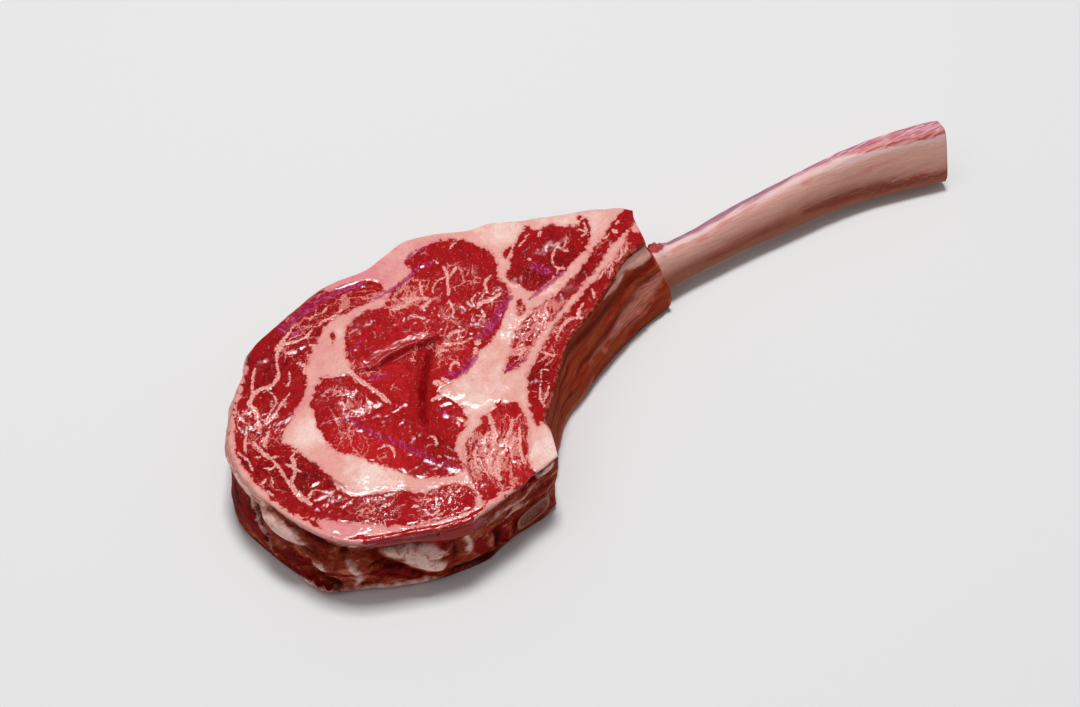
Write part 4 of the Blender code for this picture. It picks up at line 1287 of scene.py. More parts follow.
# Stains on the bare rib: half width, then points (plan x, millimetres down from the upper edge).
BONE_BLOOD = (
    (1.0, (166, 10), (176, 10.5), (184, 11)),
    (1.5, (182, 12), (192, 11), (202, 12.5)),
    (1.9, (198, 13), (210, 14), (222, 13.5)),
    (1.3, (122, 3), (128, 2.5), (136, 3)),
    (1.0, (150, 5), (166, 6), (180, 7)),
    (0.9, (146, 37), (170, 35), (196, 33), (222, 32)),
    (1.2, (150, -9), (178, -8), (214, -10)),
)
BONE_PINK = (
    (2.2, (58, -17), (88, -15), (124, -18)),
    (2.0, (40, 11), (55, 12), (66, 12.5), (80, 11.5), (102, 11)),
    (1.8, (56, 14), (63, 14.5), (70, 15)),
    (0.8, (130, 13), (138, 12.5)),
    (3.2, (164, 8), (182, 10), (200, 12), (222, 12)),
    (1.0, (146, 21), (164, 21.5), (190, 22)),
    (0.9, (96, 27), (110, 27), (122, 26)),
    (1.4, (180, 4), (200, 6), (222, 7)),
)
BONE_FILM = (
    (4.4, (40, 2.5), (70, 3), (100, 3.5), (125, 4)),
    (4.6, (120, 2), (150, 3), (180, 4), (205, 4), (222, 5)),
    (2.4, (185, 8), (205, 9), (222, 10)),
)
BONE_GREY = (
    (4.2, (44, 2), (60, 2.8), (80, 3.2), (96, 3.2)),
    (3.6, (92, 3), (108, 3.4), (128, 3.4)),
)
BONE_RUST = (
    (3.2, (130, 32), (160, 33.5), (190, 34.5), (222, 35)),
    (1.4, (66, 33), (90, 34), (116, 33)),
    (3.0, (90, -25), (130, -26), (180, -27), (222, -27)),
)
# A tuft of red meat left on the rib: plan x, millimetres down, and how far it reaches each way.
TUFT = (39.5, 4.0, 5.0, 5.0)
TUFT_HEIGHT = 3.6
TUFT_ANGLE = math.radians(70)


def oval(angle, squareness):
    """Sideways and up, from -1 to 1, at angles round an oval with flattened sides."""
    power = 2 / squareness
    return [np.sign(wave) * np.abs(wave) ** power for wave in (np.cos(angle), np.sin(angle))]


def rib_ring(middle, way, half_width, half_height, lean, squareness):
    """One cross-section of the rib: an oval with flattened sides, leaning back."""
    across = np.array((-way[1], way[0], 0.0))
    side_way = across * math.cos(lean) - np.array((0, 0, math.sin(lean)))
    up_way = across * math.sin(lean) + np.array((0, 0, math.cos(lean)))
    side, up = oval(2 * math.pi * np.arange(BONE_SIDES) / BONE_SIDES, squareness)
    return middle + (side * half_width)[:, None] * side_way + (up * half_height)[:, None] * up_way


def rib_rings():
    """Rings of the rib's outside, in plan millimetres and height."""
    line = spline([(x, y, z, w, h, math.radians(lean)) for x, y, z, w, h, lean in RIB_STATIONS],
                  closed=False)
    stations = evenly(line, round(travelled(line)[-1] / BONE_STEP))
    along = travelled(stations)
    rings = []
    for index, station in enumerate(stations):
        before, after = stations[max(index - 4, 0)], stations[min(index + 4, len(stations) - 1)]
        way = np.array((after[0] - before[0], after[1] - before[1], 0.0))
        way /= np.linalg.norm(way)
        near_end = float(smoothstep(0.75, 1.0, index / (len(stations) - 1)))
        ring = rib_ring(station[:3], way, *station[3:6], RIB_SQUARENESS + END_SQUARENESS * near_end)
        ring -= way * ((ring[:, 2] - station[2]) * END_SLOPE * near_end)[:, None]
        rings.append(ring)
    return np.array(rings), along, way


def rib_piece():
    """The rib from its sawn head in the chine face to its sawn bare end."""
    rings, along, end_way = rib_rings()
    start, end = np.array(CHINE_RIM[0], float), np.array(CHINE_RIM[-1], float)
    out = np.array((end - start)[[1, 0]]) * (1, -1)
    out /= np.linalg.norm(out)
    beyond = (rings[:, :, :2] - start) @ out - SAW_PROUD
    whole = int(np.flatnonzero((beyond < 0).all(axis=1))[0])
    sawn = rings[whole].copy()
    for k in range(BONE_SIDES):
        last = int(np.flatnonzero(beyond[:whole + 1, k] >= 0)[-1])
        a, b = beyond[last, k], beyond[last + 1, k]
        sawn[k] = rings[last, k] + (rings[last + 1, k] - rings[last, k]) * a / (a - b)
    rings = np.concatenate([sawn[None], rings[whole:]])
    along = np.concatenate([[along[whole] - 1.0], along[whole:]])

    count = len(rings)
    angle = np.tile(np.arange(BONE_SIDES) / BONE_SIDES * 2 * math.pi, count)
    gone = np.repeat(along, BONE_SIDES)
    flat = rings.reshape(-1, 3)
    middles = np.repeat(rings.mean(axis=1), BONE_SIDES, axis=0)
    outward = flat - middles
    outward /= np.linalg.norm(outward, axis=1)[:, None]
    spot = np.c_[gone / 3.5, np.cos(angle) * 9, np.sin(angle) * 14]
    form = 0.35 * lumps(spot, 5, 41) + 0.12 * lumps(spot * (1.6, 1, 1), 2.1, 42)
    ridge = np.exp(-((angle - math.radians(78)) / 0.16) ** 2)
    form += ridge * (0.5 + 0.5 * lumps(np.c_[gone, gone * 0, gone * 0], 7, 43))
    form *= smoothstep(0, 6, gone - along[0]) * smoothstep(0, 4, along[-1] - gone)
    near_tuft = ((flat[:, 0] - TUFT[0]) / TUFT[2]) ** 2 + ((angle - TUFT_ANGLE) / 0.8) ** 2
    form += TUFT_HEIGHT * np.exp(-near_tuft) * (1 + 0.9 * lumps(flat, 2.0, 48))
    flat = flat + outward * form[:, None]
    rings = flat.reshape(count, BONE_SIDES, 3)

    def end_rings(ring, way, rounding):
        """Rings that close an end: a rounded edge, then the sawn face with its sunken marrow."""
        middle = ring.mean(axis=0)
        made = []
        for share in END_SHARES:
            sunk = MARROW_DEPTH * smoothstep(0.84, 0.72, share) if share < 0.84 else 0.0
            made.append(middle + (ring - middle) * share + way * (rounding - sunk))
        return made

    saw_way = np.array((*out, 0.0))
    near, far = end_rings(rings[0], saw_way, HEAD_ROUNDING), end_rings(rings[-1], end_way, END_ROUNDING)
    shells = [*reversed(near), *rings, *far]
    share = np.repeat([*reversed(END_SHARES), *np.ones(count), *END_SHARES], BONE_SIDES)
    gone_all = np.concatenate([np.full(len(near) * BONE_SIDES, along[0]), gone,
                               np.full(len(far) * BONE_SIDES, along[-1])])
    angle_all = np.tile(np.arange(BONE_SIDES) / BONE_SIDES * 2 * math.pi, len(shells))
    points = np.concatenate(shells)
    speckle = lumps(points, 1.3, 44) * 0.22 + lumps(points, 2.6, 45) * 0.2
    push = np.where(share < 0.80, speckle, 0)
    way = np.where((gone_all > along[-1] - 0.5)[:, None], end_way, saw_way)
    points = points + way * push[:, None]
    first_middle, last_middle = shells[0].mean(axis=0), shells[-1].mean(axis=0)
    points = np.concatenate([points, [first_middle, last_middle]])
    faces = band_faces(0, len(shells), BONE_SIDES)
    hub, last = len(points) - 2, (len(shells) - 1) * BONE_SIDES
    for k in range(BONE_SIDES):
        n = (k + 1) % BONE_SIDES
        faces.append((hub, n, k))
        faces.append((hub + 1, last + k, last + n))
    # Millimetres round the bone from the far upper edge, towards the camera and down.
    side, up = oval(angle_all, RIB_SQUARENESS + END_SQUARENESS / 2)
    wide, tall = 6.0, 14.5
    across = np.where(up > 0, wide * (1 - side) + np.where(side > 0, -1, 1) * tall * (1 - up),
                      np.where(side > 0, -tall * (1 - up) - wide * (1 - side),
                               2 * wide + tall * (1 - up) + wide * (1 + side)))
    across = np.r_[across, 0.0, 0.0]
    spot = np.c_[points[:, 0], across]
    ragged = 1.3 * lumps(np.c_[spot * (0.4, 1), across * 0], 3.0, 46)

    def painted(strokes, soft):
        return smoothstep(-soft, soft, stroke_depth(spot, strokes) + ragged)

    tuft = np.exp(-(((spot[:, 0] - TUFT[0]) / TUFT[2]) ** 2) - ((across - TUFT[1]) / TUFT[3]) ** 2)
    tuft = smoothstep(0.2, 0.5, tuft)
    # Both sides turn brown downwards: partly the bone's own colour, partly painted shade on the sides
    # that face down. Towards its sawn end the bone stays pale farther down.
    down = np.where(across < 0, -1.3 * across, across) - 6.0 * smoothstep(130, 215, spot[:, 0])
    marks = {
        "share": np.r_[share, 0.0, 0.0],
        "across": np.where(spot[:, 0] < -60, 40.0, down),
        "blood": np.maximum(painted(BONE_BLOOD, 1.6), 1.5 * tuft),
        "pink": painted(BONE_PINK, 1.8), "film": painted(BONE_FILM, 2.0),
        "grey": 0.8 * painted(BONE_GREY, 1.6),
        "rust": np.maximum(painted(BONE_RUST, 2.0), 0.8 * tuft),
    }
    return to_frame(points[:, :2], points[:, 2]), faces, marks


# ---------------------------------------------------------------- materials

def linear(code):
    """A linear colour from an sRGB hex code."""
    values = [int(code[k:k + 2], 16) / 255 for k in (1, 3, 5)]
    return (*((v / 12.92 if v <= 0.04045 else ((v + 0.055) / 1.055) ** 2.4) for v in values), 1.0)


def add(tree, kind, inputs=(), out=0, **settings):
    """A node with its settings, and what goes into it: input -> socket or value. Gives one output."""
    node = tree.nodes.new("ShaderNode" + kind)
    for name, value in settings.items():
        setattr(node, name, value)
    for socket, source in dict(inputs).items():
        if isinstance(source, bpy.types.NodeSocket):
            tree.links.new(source, node.inputs[socket])
        else:
            node.inputs[socket].default_value = source
    return node.outputs[out] if node.outputs else None


# Settings that many nodes share: a soft step from one value to another, and a mix of two colours.
SOFT = {"interpolation_type": "SMOOTHSTEP"}
COLOUR = {"data_type": "RGBA", "out": 2}


def new_material(name):
    surface = bpy.data.materials.new(name)
    surface.use_nodes = True
    surface.node_tree.nodes.clear()
    return surface, surface.node_tree


def raw_beef():
    """Raw beef, freshly cut: deep red wet lean, pale moist fat, silver skin with a painted purple sheen.

    Its own juice lies on it as a thin clear coat. Where the grain is torn, single drops glint.
    """
    surface, tree = new_material("raw_beef_wet_cut")
    mm = add(tree, "VectorMath", {0: add(tree, "TexCoord", out="Object"), "Scale": 1000.0},
             operation="SCALE")
    lean, vein, silver, crease, glitter, marble, lean_tone, fat_tone, shade, pale, pink = (
        add(tree, "Attribute", out="Fac", attribute_name=name)
        for name in ("lean", "vein", "silver", "crease", "glitter", "marble", "lean_tone", "fat_tone",
                     "shade", "pale", "pink"))
    grain = add(tree, "Attribute", out="Vector", attribute_name="grain")

    # Edges of the muscles and veins, frayed at 4 mm and at 1 mm.
    wide = add(tree, "TexNoise", {"Vector": mm, "Scale": 0.25, "Detail": 5.0, "Roughness": 0.66})
    fine = add(tree, "TexNoise", {"Vector": mm, "Scale": 1.1, "Detail": 3.0, "Roughness": 0.6})
    frayed = add(tree, "Math", {0: wide, 1: 9.0, 2: -5.3}, operation="MULTIPLY_ADD")
    frayed = add(tree, "Math", {0: fine, 1: 1.6, 2: frayed}, operation="MULTIPLY_ADD")
    lean_edge = add(tree, "Math", {0: lean, 1: frayed}, operation="ADD")
    is_lean = add(tree, "MapRange", {0: lean_edge, 1: -0.25, 2: 0.25}, **SOFT)
    vein_edge = add(tree, "Math", {0: frayed, 1: 0.34, 2: vein}, operation="MULTIPLY_ADD")
    vein_edge = add(tree, "Math", {0: fine, 1: 1.5, 2: vein_edge}, operation="MULTIPLY_ADD")
    in_vein = add(tree, "MapRange", {0: vein_edge, 1: 0.50, 2: 0.95}, **SOFT)

    # Fine marbling: a broken net round bundles of 10 mm, threads 0.5 mm wide that follow the
    # grain, and flecks of a millimetre.
    bend = add(tree, "TexNoise", {"Vector": mm, "Scale": 0.16, "Detail": 3.0}, out="Color")
    bent = add(tree, "VectorMath", {0: bend, 1: (9.0, 9.0, 9.0), 2: grain}, operation="MULTIPLY_ADD")
    along = add(tree, "VectorMath", {0: bent, 1: (0.09, 0.24, 0.2)}, operation="MULTIPLY")
    ridge = add(tree, "TexNoise", {"Vector": along, "Scale": 1.0, "Detail": 2.0})
    ridge = add(tree, "Math", {0: ridge, 1: 0.5}, operation="SUBTRACT")
    ridge = add(tree, "Math", {0: ridge}, operation="ABSOLUTE")
    presence = add(tree, "TexNoise", {"Vector": mm, "Scale": 0.10, "Detail": 3.0})
    amount = add(tree, "Math", {0: marble, 1: 0.42, 2: presence}, operation="MULTIPLY_ADD")
    reach = add(tree, "MapRange", {0: amount, 1: 0.56, 2: 1.0, 3: -0.012, 4: 0.020}, **SOFT)
    rich = add(tree, "MapRange", {0: marble, 1: 0.7, 2: 1.0, 4: 0.045}, **SOFT)
    reach = add(tree, "Math", {0: reach, 1: rich}, operation="ADD")
    thread = add(tree, "Math", {0: reach, 1: ridge}, operation="SUBTRACT")
    in_thread = add(tree, "MapRange", {0: thread, 1: -0.010, 2: 0.008, 4: 0.85}, **SOFT)
    bundle = add(tree, "VectorMath", {0: bent, 1: (0.075, 0.125, 0.1)}, operation="MULTIPLY")
    net = add(tree, "TexVoronoi", {"Vector": bundle, "Scale": 1.0}, out="Distance",
              feature="DISTANCE_TO_EDGE")
    net_width = add(tree, "MapRange", {0: amount, 1: 0.50, 2: 0.98, 3: -0.055, 4: 0.080}, **SOFT)
    net_width = add(tree, "Math", {0: fine, 1: 0.10, 2: net_width}, operation="MULTIPLY_ADD")
    net = add(tree, "Math", {0: net_width, 1: net}, operation="SUBTRACT")
    in_net = add(tree, "MapRange", {0: net, 1: 0.030, 2: 0.070, 4: 0.8}, **SOFT)
    short = add(tree, "VectorMath", {0: bent, 1: (0.5, 1.1, 0.6)}, operation="MULTIPLY")
    fleck = add(tree, "TexNoise", {"Vector": short, "Scale": 1.0, "Detail": 3.0, "Roughness": 0.62})
    fleck = add(tree, "Math", {0: marble, 1: 0.085, 2: fleck}, operation="MULTIPLY_ADD")
    in_fleck = add(tree, "MapRange", {0: fleck, 1: 0.665, 2: 0.72, 4: 0.8}, **SOFT)
    thin_fat = add(tree, "Math", {0: in_thread, 1: in_fleck}, operation="MAXIMUM")
    thin_fat = add(tree, "Math", {0: thin_fat, 1: in_net}, operation="MAXIMUM")
    fat_in_lean = add(tree, "Math", {0: thin_fat, 1: in_vein}, operation="MAXIMUM")

    # Lean: dark to bright red over a few millimetres.
    blotch = add(tree, "TexNoise", {"Vector": along, "Scale": 1.9, "Detail": 4.0, "Roughness": 0.65})
    light = add(tree, "Math", {0: blotch, 1: 3.2, 2: -1.6}, operation="MULTIPLY_ADD")
    light = add(tree, "Math", {0: lean_tone, 1: 0.8, 2: light}, operation="MULTIPLY_ADD")
    darker = add(tree, "MapRange", {0: light, 1: -0.9, 2: 0.0}, **SOFT)
    lighter = add(tree, "MapRange", {0: light, 1: 0.0, 2: 0.8}, **SOFT)
    red = add(tree, "Mix", {0: darker, 6: linear("#6E0508"), 7: linear("#A20B11")}, **COLOUR)
    pit = add(tree, "MapRange", {0: fine, 1: 0.46, 2: 0.34, 4: 0.30}, **SOFT)
    for share, code in ((lighter, "#BC1A1F"), (pit, "#5C0407")):
        red = add(tree, "Mix", {0: share, 6: red, 7: linear(code)}, **COLOUR)

    # Fat: nearly white in its pockets, pink where it is thin, with faint red vessels.
    cloud = add(tree, "TexNoise", {"Vector": mm, "Scale": 0.14, "Detail": 5.0, "Roughness": 0.65})
    blush = add(tree, "Math", {0: cloud, 1: 1.8, 2: -0.9}, operation="MULTIPLY_ADD")
    blush = add(tree, "Math", {0: blush, 1: fat_tone}, operation="ADD")
    little = add(tree, "MapRange", {0: blush, 1: -0.9, 2: 0.0}, **SOFT)
    much = add(tree, "MapRange", {0: blush, 1: 0.0, 2: 0.8}, **SOFT)
    fat = add(tree, "Mix", {0: little, 6: linear("#F7D5CB"), 7: linear("#EAAA9F")}, **COLOUR)
    mottle = add(tree, "MapRange", {0: fine, 1: 0.42, 2: 0.68, 4: 0.22}, **SOFT)
    vessel = add(tree, "TexNoise", {"Vector": mm, "Scale": 0.22, "Detail": 3.0, "Roughness": 0.6})
    vessel = add(tree, "Math", {0: vessel, 1: 0.5}, operation="SUBTRACT")
    vessel = add(tree, "Math", {0: vessel}, operation="ABSOLUTE")
    vessel = add(tree, "MapRange", {0: vessel, 1: 0.016, 2: 0.0, 4: 0.35}, **SOFT)
    near_lean = add(tree, "MapRange", {0: lean_edge, 1: -2.2, 2: -0.1, 4: 0.6}, **SOFT)
    for share, code in ((much, "#E38A92"), (mottle, "#D27E76"), (vessel, "#CB5656"),
                        (near_lean, "#DB7875")):
        fat = add(tree, "Mix", {0: share, 6: fat, 7: linear(code)}, **COLOUR)
    vein_share = add(tree, "MapRange", {0: fine, 1: 0.35, 2: 0.65}, **SOFT)
    thin_colour = add(tree, "Mix", {0: vein_share, 6: linear("#CE5854"), 7: linear("#E8A096")}, **COLOUR)
    vein_colour = add(tree, "Mix", {0: vein_share, 6: linear("#DA746C"), 7: linear("#F0B6AC")}, **COLOUR)
    colour = add(tree, "Mix", {0: thin_fat, 6: red, 7: thin_colour}, **COLOUR)
    colour = add(tree, "Mix", {0: in_vein, 6: colour, 7: vein_colour}, **COLOUR)

    # The side wall: lean darkened with painted shade, red-brown to tan tissue in soft blotches, and pale
    # folds of fat.
    blot = add(tree, "VectorMath", {0: bent, 1: (0.15, 0.085, 0.1)}, operation="MULTIPLY")
    blot = add(tree, "TexNoise", {"Vector": blot, "Scale": 1.0, "Detail": 5.0, "Roughness": 0.66})
    strand = add(tree, "VectorMath", {0: bent, 1: (0.75, 0.22, 0.5)}, operation="MULTIPLY")
    strand = add(tree, "TexNoise", {"Vector": strand, "Scale": 1.0, "Detail": 3.0, "Roughness": 0.6})
    mixed = add(tree, "Math", {0: strand, 1: 0.45, 2: blot}, operation="MULTIPLY_ADD")
    to_tan = add(tree, "MapRange", {0: mixed, 1: 0.60, 2: 0.78}, **SOFT)
    to_rose = add(tree, "MapRange", {0: mixed, 1: 0.76, 2: 0.94}, **SOFT)
    # Painted shade: on the side wall the lean turns to these dark reds.
    shaded_wall_lean = add(tree, "Mix", {0: to_tan, 6: linear("#4A0504"), 7: linear("#8C1610")}, **COLOUR)
    some = add(tree, "Math", {0: shade, 1: 0.9}, operation="MULTIPLY")
    colour = add(tree, "Mix", {0: some, 6: colour, 7: shaded_wall_lean}, **COLOUR)
    tissue = add(tree, "Mix", {0: to_tan, 6: linear("#721408"), 7: linear("#9A3A24")}, **COLOUR)
    tissue = add(tree, "Mix", {0: to_rose, 6: tissue, 7: linear("#C87C68")}, **COLOUR)
    wall_fat = add(tree, "Mix", {0: to_tan, 6: linear("#CE7C6E"), 7: linear("#F8CCC0")}, **COLOUR)
    tissue = add(tree, "Mix", {0: pale, 6: tissue, 7: wall_fat}, **COLOUR)
    fat = add(tree, "Mix", {0: shade, 6: fat, 7: tissue}, **COLOUR)
    colour = add(tree, "Mix", {0: is_lean, 6: fat, 7: colour}, **COLOUR)

    # Silver skin: a thin film in streaks along the grain with a painted magenta sheen, and a few paler
    # threads.
    sheen = add(tree, "TexNoise", {"Vector": along, "Scale": 3.4, "Detail": 3.0, "Roughness": 0.6})
    skin = add(tree, "Math", {0: frayed, 1: 0.5, 2: silver}, operation="MULTIPLY_ADD")
    skin = add(tree, "Math", {0: sheen, 1: 4.0, 2: skin}, operation="MULTIPLY_ADD")
    skin = add(tree, "MapRange", {0: skin, 1: 1.5, 2: 2.7, 4: 0.78}, **SOFT)
    threads = add(tree, "MapRange", {0: sheen, 1: 0.50, 2: 0.64}, **SOFT)
    purple = add(tree, "Mix", {0: threads, 6: linear("#98143C"), 7: linear("#C4508E")}, **COLOUR)
    colour = add(tree, "Mix", {0: skin, 6: colour, 7: purple}, **COLOUR)
    colour = add(tree, "Mix", {0: pink, 6: colour, 7: linear("#D9706E")}, **COLOUR)
    # Painted shade: the crease mark darkens the slit, the band under the lobe's edge and the side wall's
    # clefts, nearly black on the side wall. The small dark marks take it too.
    deep = add(tree, "Mix", {0: shade, 6: linear("#5E080C"), 7: linear("#280606")}, **COLOUR)
    dim = add(tree, "Math", {0: crease, 1: 0.85}, operation="MULTIPLY")
    colour = add(tree, "Mix", {0: dim, 6: colour, 7: deep}, **COLOUR)

    # The surface: grains of 0.6 mm, coarser where the cut broke it, and fine pores.
    facet = add(tree, "TexNoise", {"Vector": mm, "Scale": 1.6, "Detail": 2.0, "Roughness": 0.5})
    least = add(tree, "MapRange", {0: is_lean, 3: 0.17, 4: 0.12})
    broken = add(tree, "Math", {0: glitter, 1: 0.16, 2: least}, operation="MULTIPLY_ADD")
    height = add(tree, "Math", {0: facet, 1: broken}, operation="MULTIPLY")
    height = add(tree, "Math", {0: fleck, 1: 0.07, 2: height}, operation="MULTIPLY_ADD")
    height = add(tree, "Math", {0: fat_in_lean, 1: 0.06, 2: height}, operation="MULTIPLY_ADD")
    height = add(tree, "Math", {0: mixed, 1: shade, 2: height}, operation="MULTIPLY_ADD")
    bump = add(tree, "Bump", {"Strength": 1.0, "Distance": 0.001, "Height": height})

    # The juice on it lies in flat drops of 1 mm. Where the grain is torn they tilt this way and
    # that, mostly with the fibres, so that some of them catch the light whole.
    clump = add(tree, "TexNoise", {"Vector": along, "Scale": 2.2, "Detail": 3.0, "Roughness": 0.6})
    torn = add(tree, "Math", {0: clump, 1: 1.7, 2: -0.98}, operation="MULTIPLY_ADD")
    torn = add(tree, "Math", {0: torn, 1: glitter}, operation="ADD")
    torn = add(tree, "MapRange", {0: torn, 1: 0.10, 2: 0.80})
    drop = add(tree, "TexVoronoi", {"Vector": mm, "Scale": 0.95}, out="Color")
    tilt = add(tree, "VectorMath", {0: drop, 1: (0.32, 0.32, 0.0), 2: (-0.05, 0.03, 0.0)},
               operation="MULTIPLY_ADD")
    middle = drop.node.outputs["Position"]
    from_middle = add(tree, "VectorMath", {0: mm, 1: middle}, operation="SUBTRACT")
    film = add(tree, "VectorMath", {0: tilt, 1: from_middle}, out="Value", operation="DOT_PRODUCT")
    film = add(tree, "Math", {0: film, 1: torn}, operation="MULTIPLY")
    film = add(tree, "Math", {0: facet, 1: 0.035, 2: film}, operation="MULTIPLY_ADD")
    film = add(tree, "Math", {0: fat_in_lean, 1: 0.03, 2: film}, operation="MULTIPLY_ADD")
    film_bump = add(tree, "Bump", {"Strength": 1.0, "Distance": 0.001, "Height": film})
    # The side wall has nearly dried.
    wet = add(tree, "MapRange", {0: shade, 3: 1.0, 4: 0.08})
    shader = add(tree, "BsdfPrincipled", {
        "Base Color": colour, "Roughness": 0.5, "Normal": bump, "IOR": 1.40,
        "Specular IOR Level": 0.0, "Coat Weight": wet, "Coat Roughness": 0.07, "Coat IOR": 1.36,
        "Coat Normal": film_bump,
    })
    add(tree, "OutputMaterial", {0: shader})
    return surface


def rib_skin():
    """The thin skin over the rib: moist, red-brown, streaked along the bone, pale over fat."""
    surface, tree = new_material("rib_skin_moist")
    crease, pale, pink, shade = (add(tree, "Attribute", out="Fac", attribute_name=name)
                                 for name in ("crease", "pale", "pink", "shade"))
    grain = add(tree, "Attribute", out="Vector", attribute_name="grain")
    mm = add(tree, "VectorMath", {0: add(tree, "TexCoord", out="Object"), "Scale": 1000.0},
             operation="SCALE")
    # Streaks 3 mm high and 25 mm long, and finer ones of 1 mm.
    broad = add(tree, "VectorMath", {0: grain, 1: (0.30, 0.035, 0.2)}, operation="MULTIPLY")
    broad = add(tree, "TexNoise", {"Vector": broad, "Scale": 1.0, "Detail": 4.0, "Roughness": 0.6})
    thin = add(tree, "VectorMath", {0: grain, 1: (0.95, 0.09, 0.5)}, operation="MULTIPLY")
    thin = add(tree, "TexNoise", {"Vector": thin, "Scale": 1.0, "Detail": 3.0, "Roughness": 0.6})
    share = add(tree, "Math", {0: thin, 1: 0.3, 2: broad}, operation="MULTIPLY_ADD")
    share = add(tree, "MapRange", {0: share, 1: 0.48, 2: 0.82}, **SOFT)
    colour = add(tree, "Mix", {0: share, 6: linear("#982812"), 7: linear("#9E4C2C")}, **COLOUR)
    # Cream where the skin has pale fat at its upper end, and a painted highlight along the rib's bulge.
    fat_and_highlight = add(tree, "Math", {0: thin, 1: 0.3, 2: pale}, operation="MULTIPLY_ADD")
    fat_and_highlight = add(tree, "MapRange", {0: fat_and_highlight, 1: 0.25, 2: 1.05}, **SOFT)
    cream_share = add(tree, "MapRange", {0: thin, 1: 0.30, 2: 0.70}, **SOFT)
    cream = add(tree, "Mix", {0: cream_share, 6: linear("#D4877A"), 7: linear("#ECB8AC")}, **COLOUR)
    colour = add(tree, "Mix", {0: fat_and_highlight, 6: colour, 7: cream}, **COLOUR)
    rosy = add(tree, "MapRange", {0: thin, 1: 0.34, 2: 0.62, 3: 0.15, 4: 0.95}, **SOFT)
    rosy = add(tree, "Math", {0: pink, 1: rosy}, operation="MULTIPLY")
    colour = add(tree, "Mix", {0: rosy, 6: colour, 7: linear("#D46A60")}, **COLOUR)
    # Painted shade in the channel under the rim and along the foot, over the skin's own dark red
    # streaks.
    dim = add(tree, "Math", {0: crease, 1: 0.7}, operation="MULTIPLY")
    colour = add(tree, "Mix", {0: dim, 6: colour, 7: linear("#5C0E0A")}, **COLOUR)
    # On the cut face the skin's edge is a thin pink line.
    edge = add(tree, "MapRange", {0: shade, 1: 0.7, 2: 0.2}, **SOFT)
    torn = add(tree, "TexNoise", {"Vector": mm, "Scale": 0.45, "Detail": 4.0, "Roughness": 0.6})
    torn = add(tree, "MapRange", {0: torn, 1: 0.44, 2: 0.60}, **SOFT)
    rim = add(tree, "Mix", {0: torn, 6: linear("#82180F"), 7: linear("#AC5046")}, **COLOUR)
    colour = add(tree, "Mix", {0: edge, 6: colour, 7: rim}, **COLOUR)
    height = add(tree, "Math", {0: broad, 1: 1.4, 2: thin}, operation="MULTIPLY_ADD")
    bump = add(tree, "Bump", {"Strength": 0.8, "Distance": 0.001, "Height": height})
    shader = add(tree, "BsdfPrincipled", {
        "Base Color": colour, "Roughness": 0.5, "Normal": bump, "IOR": 1.40,
        "Specular IOR Level": 0.0, "Coat Weight": 0.07, "Coat Roughness": 0.25, "Coat IOR": 1.36,
    })
    add(tree, "OutputMaterial", {0: shader})
    return surface


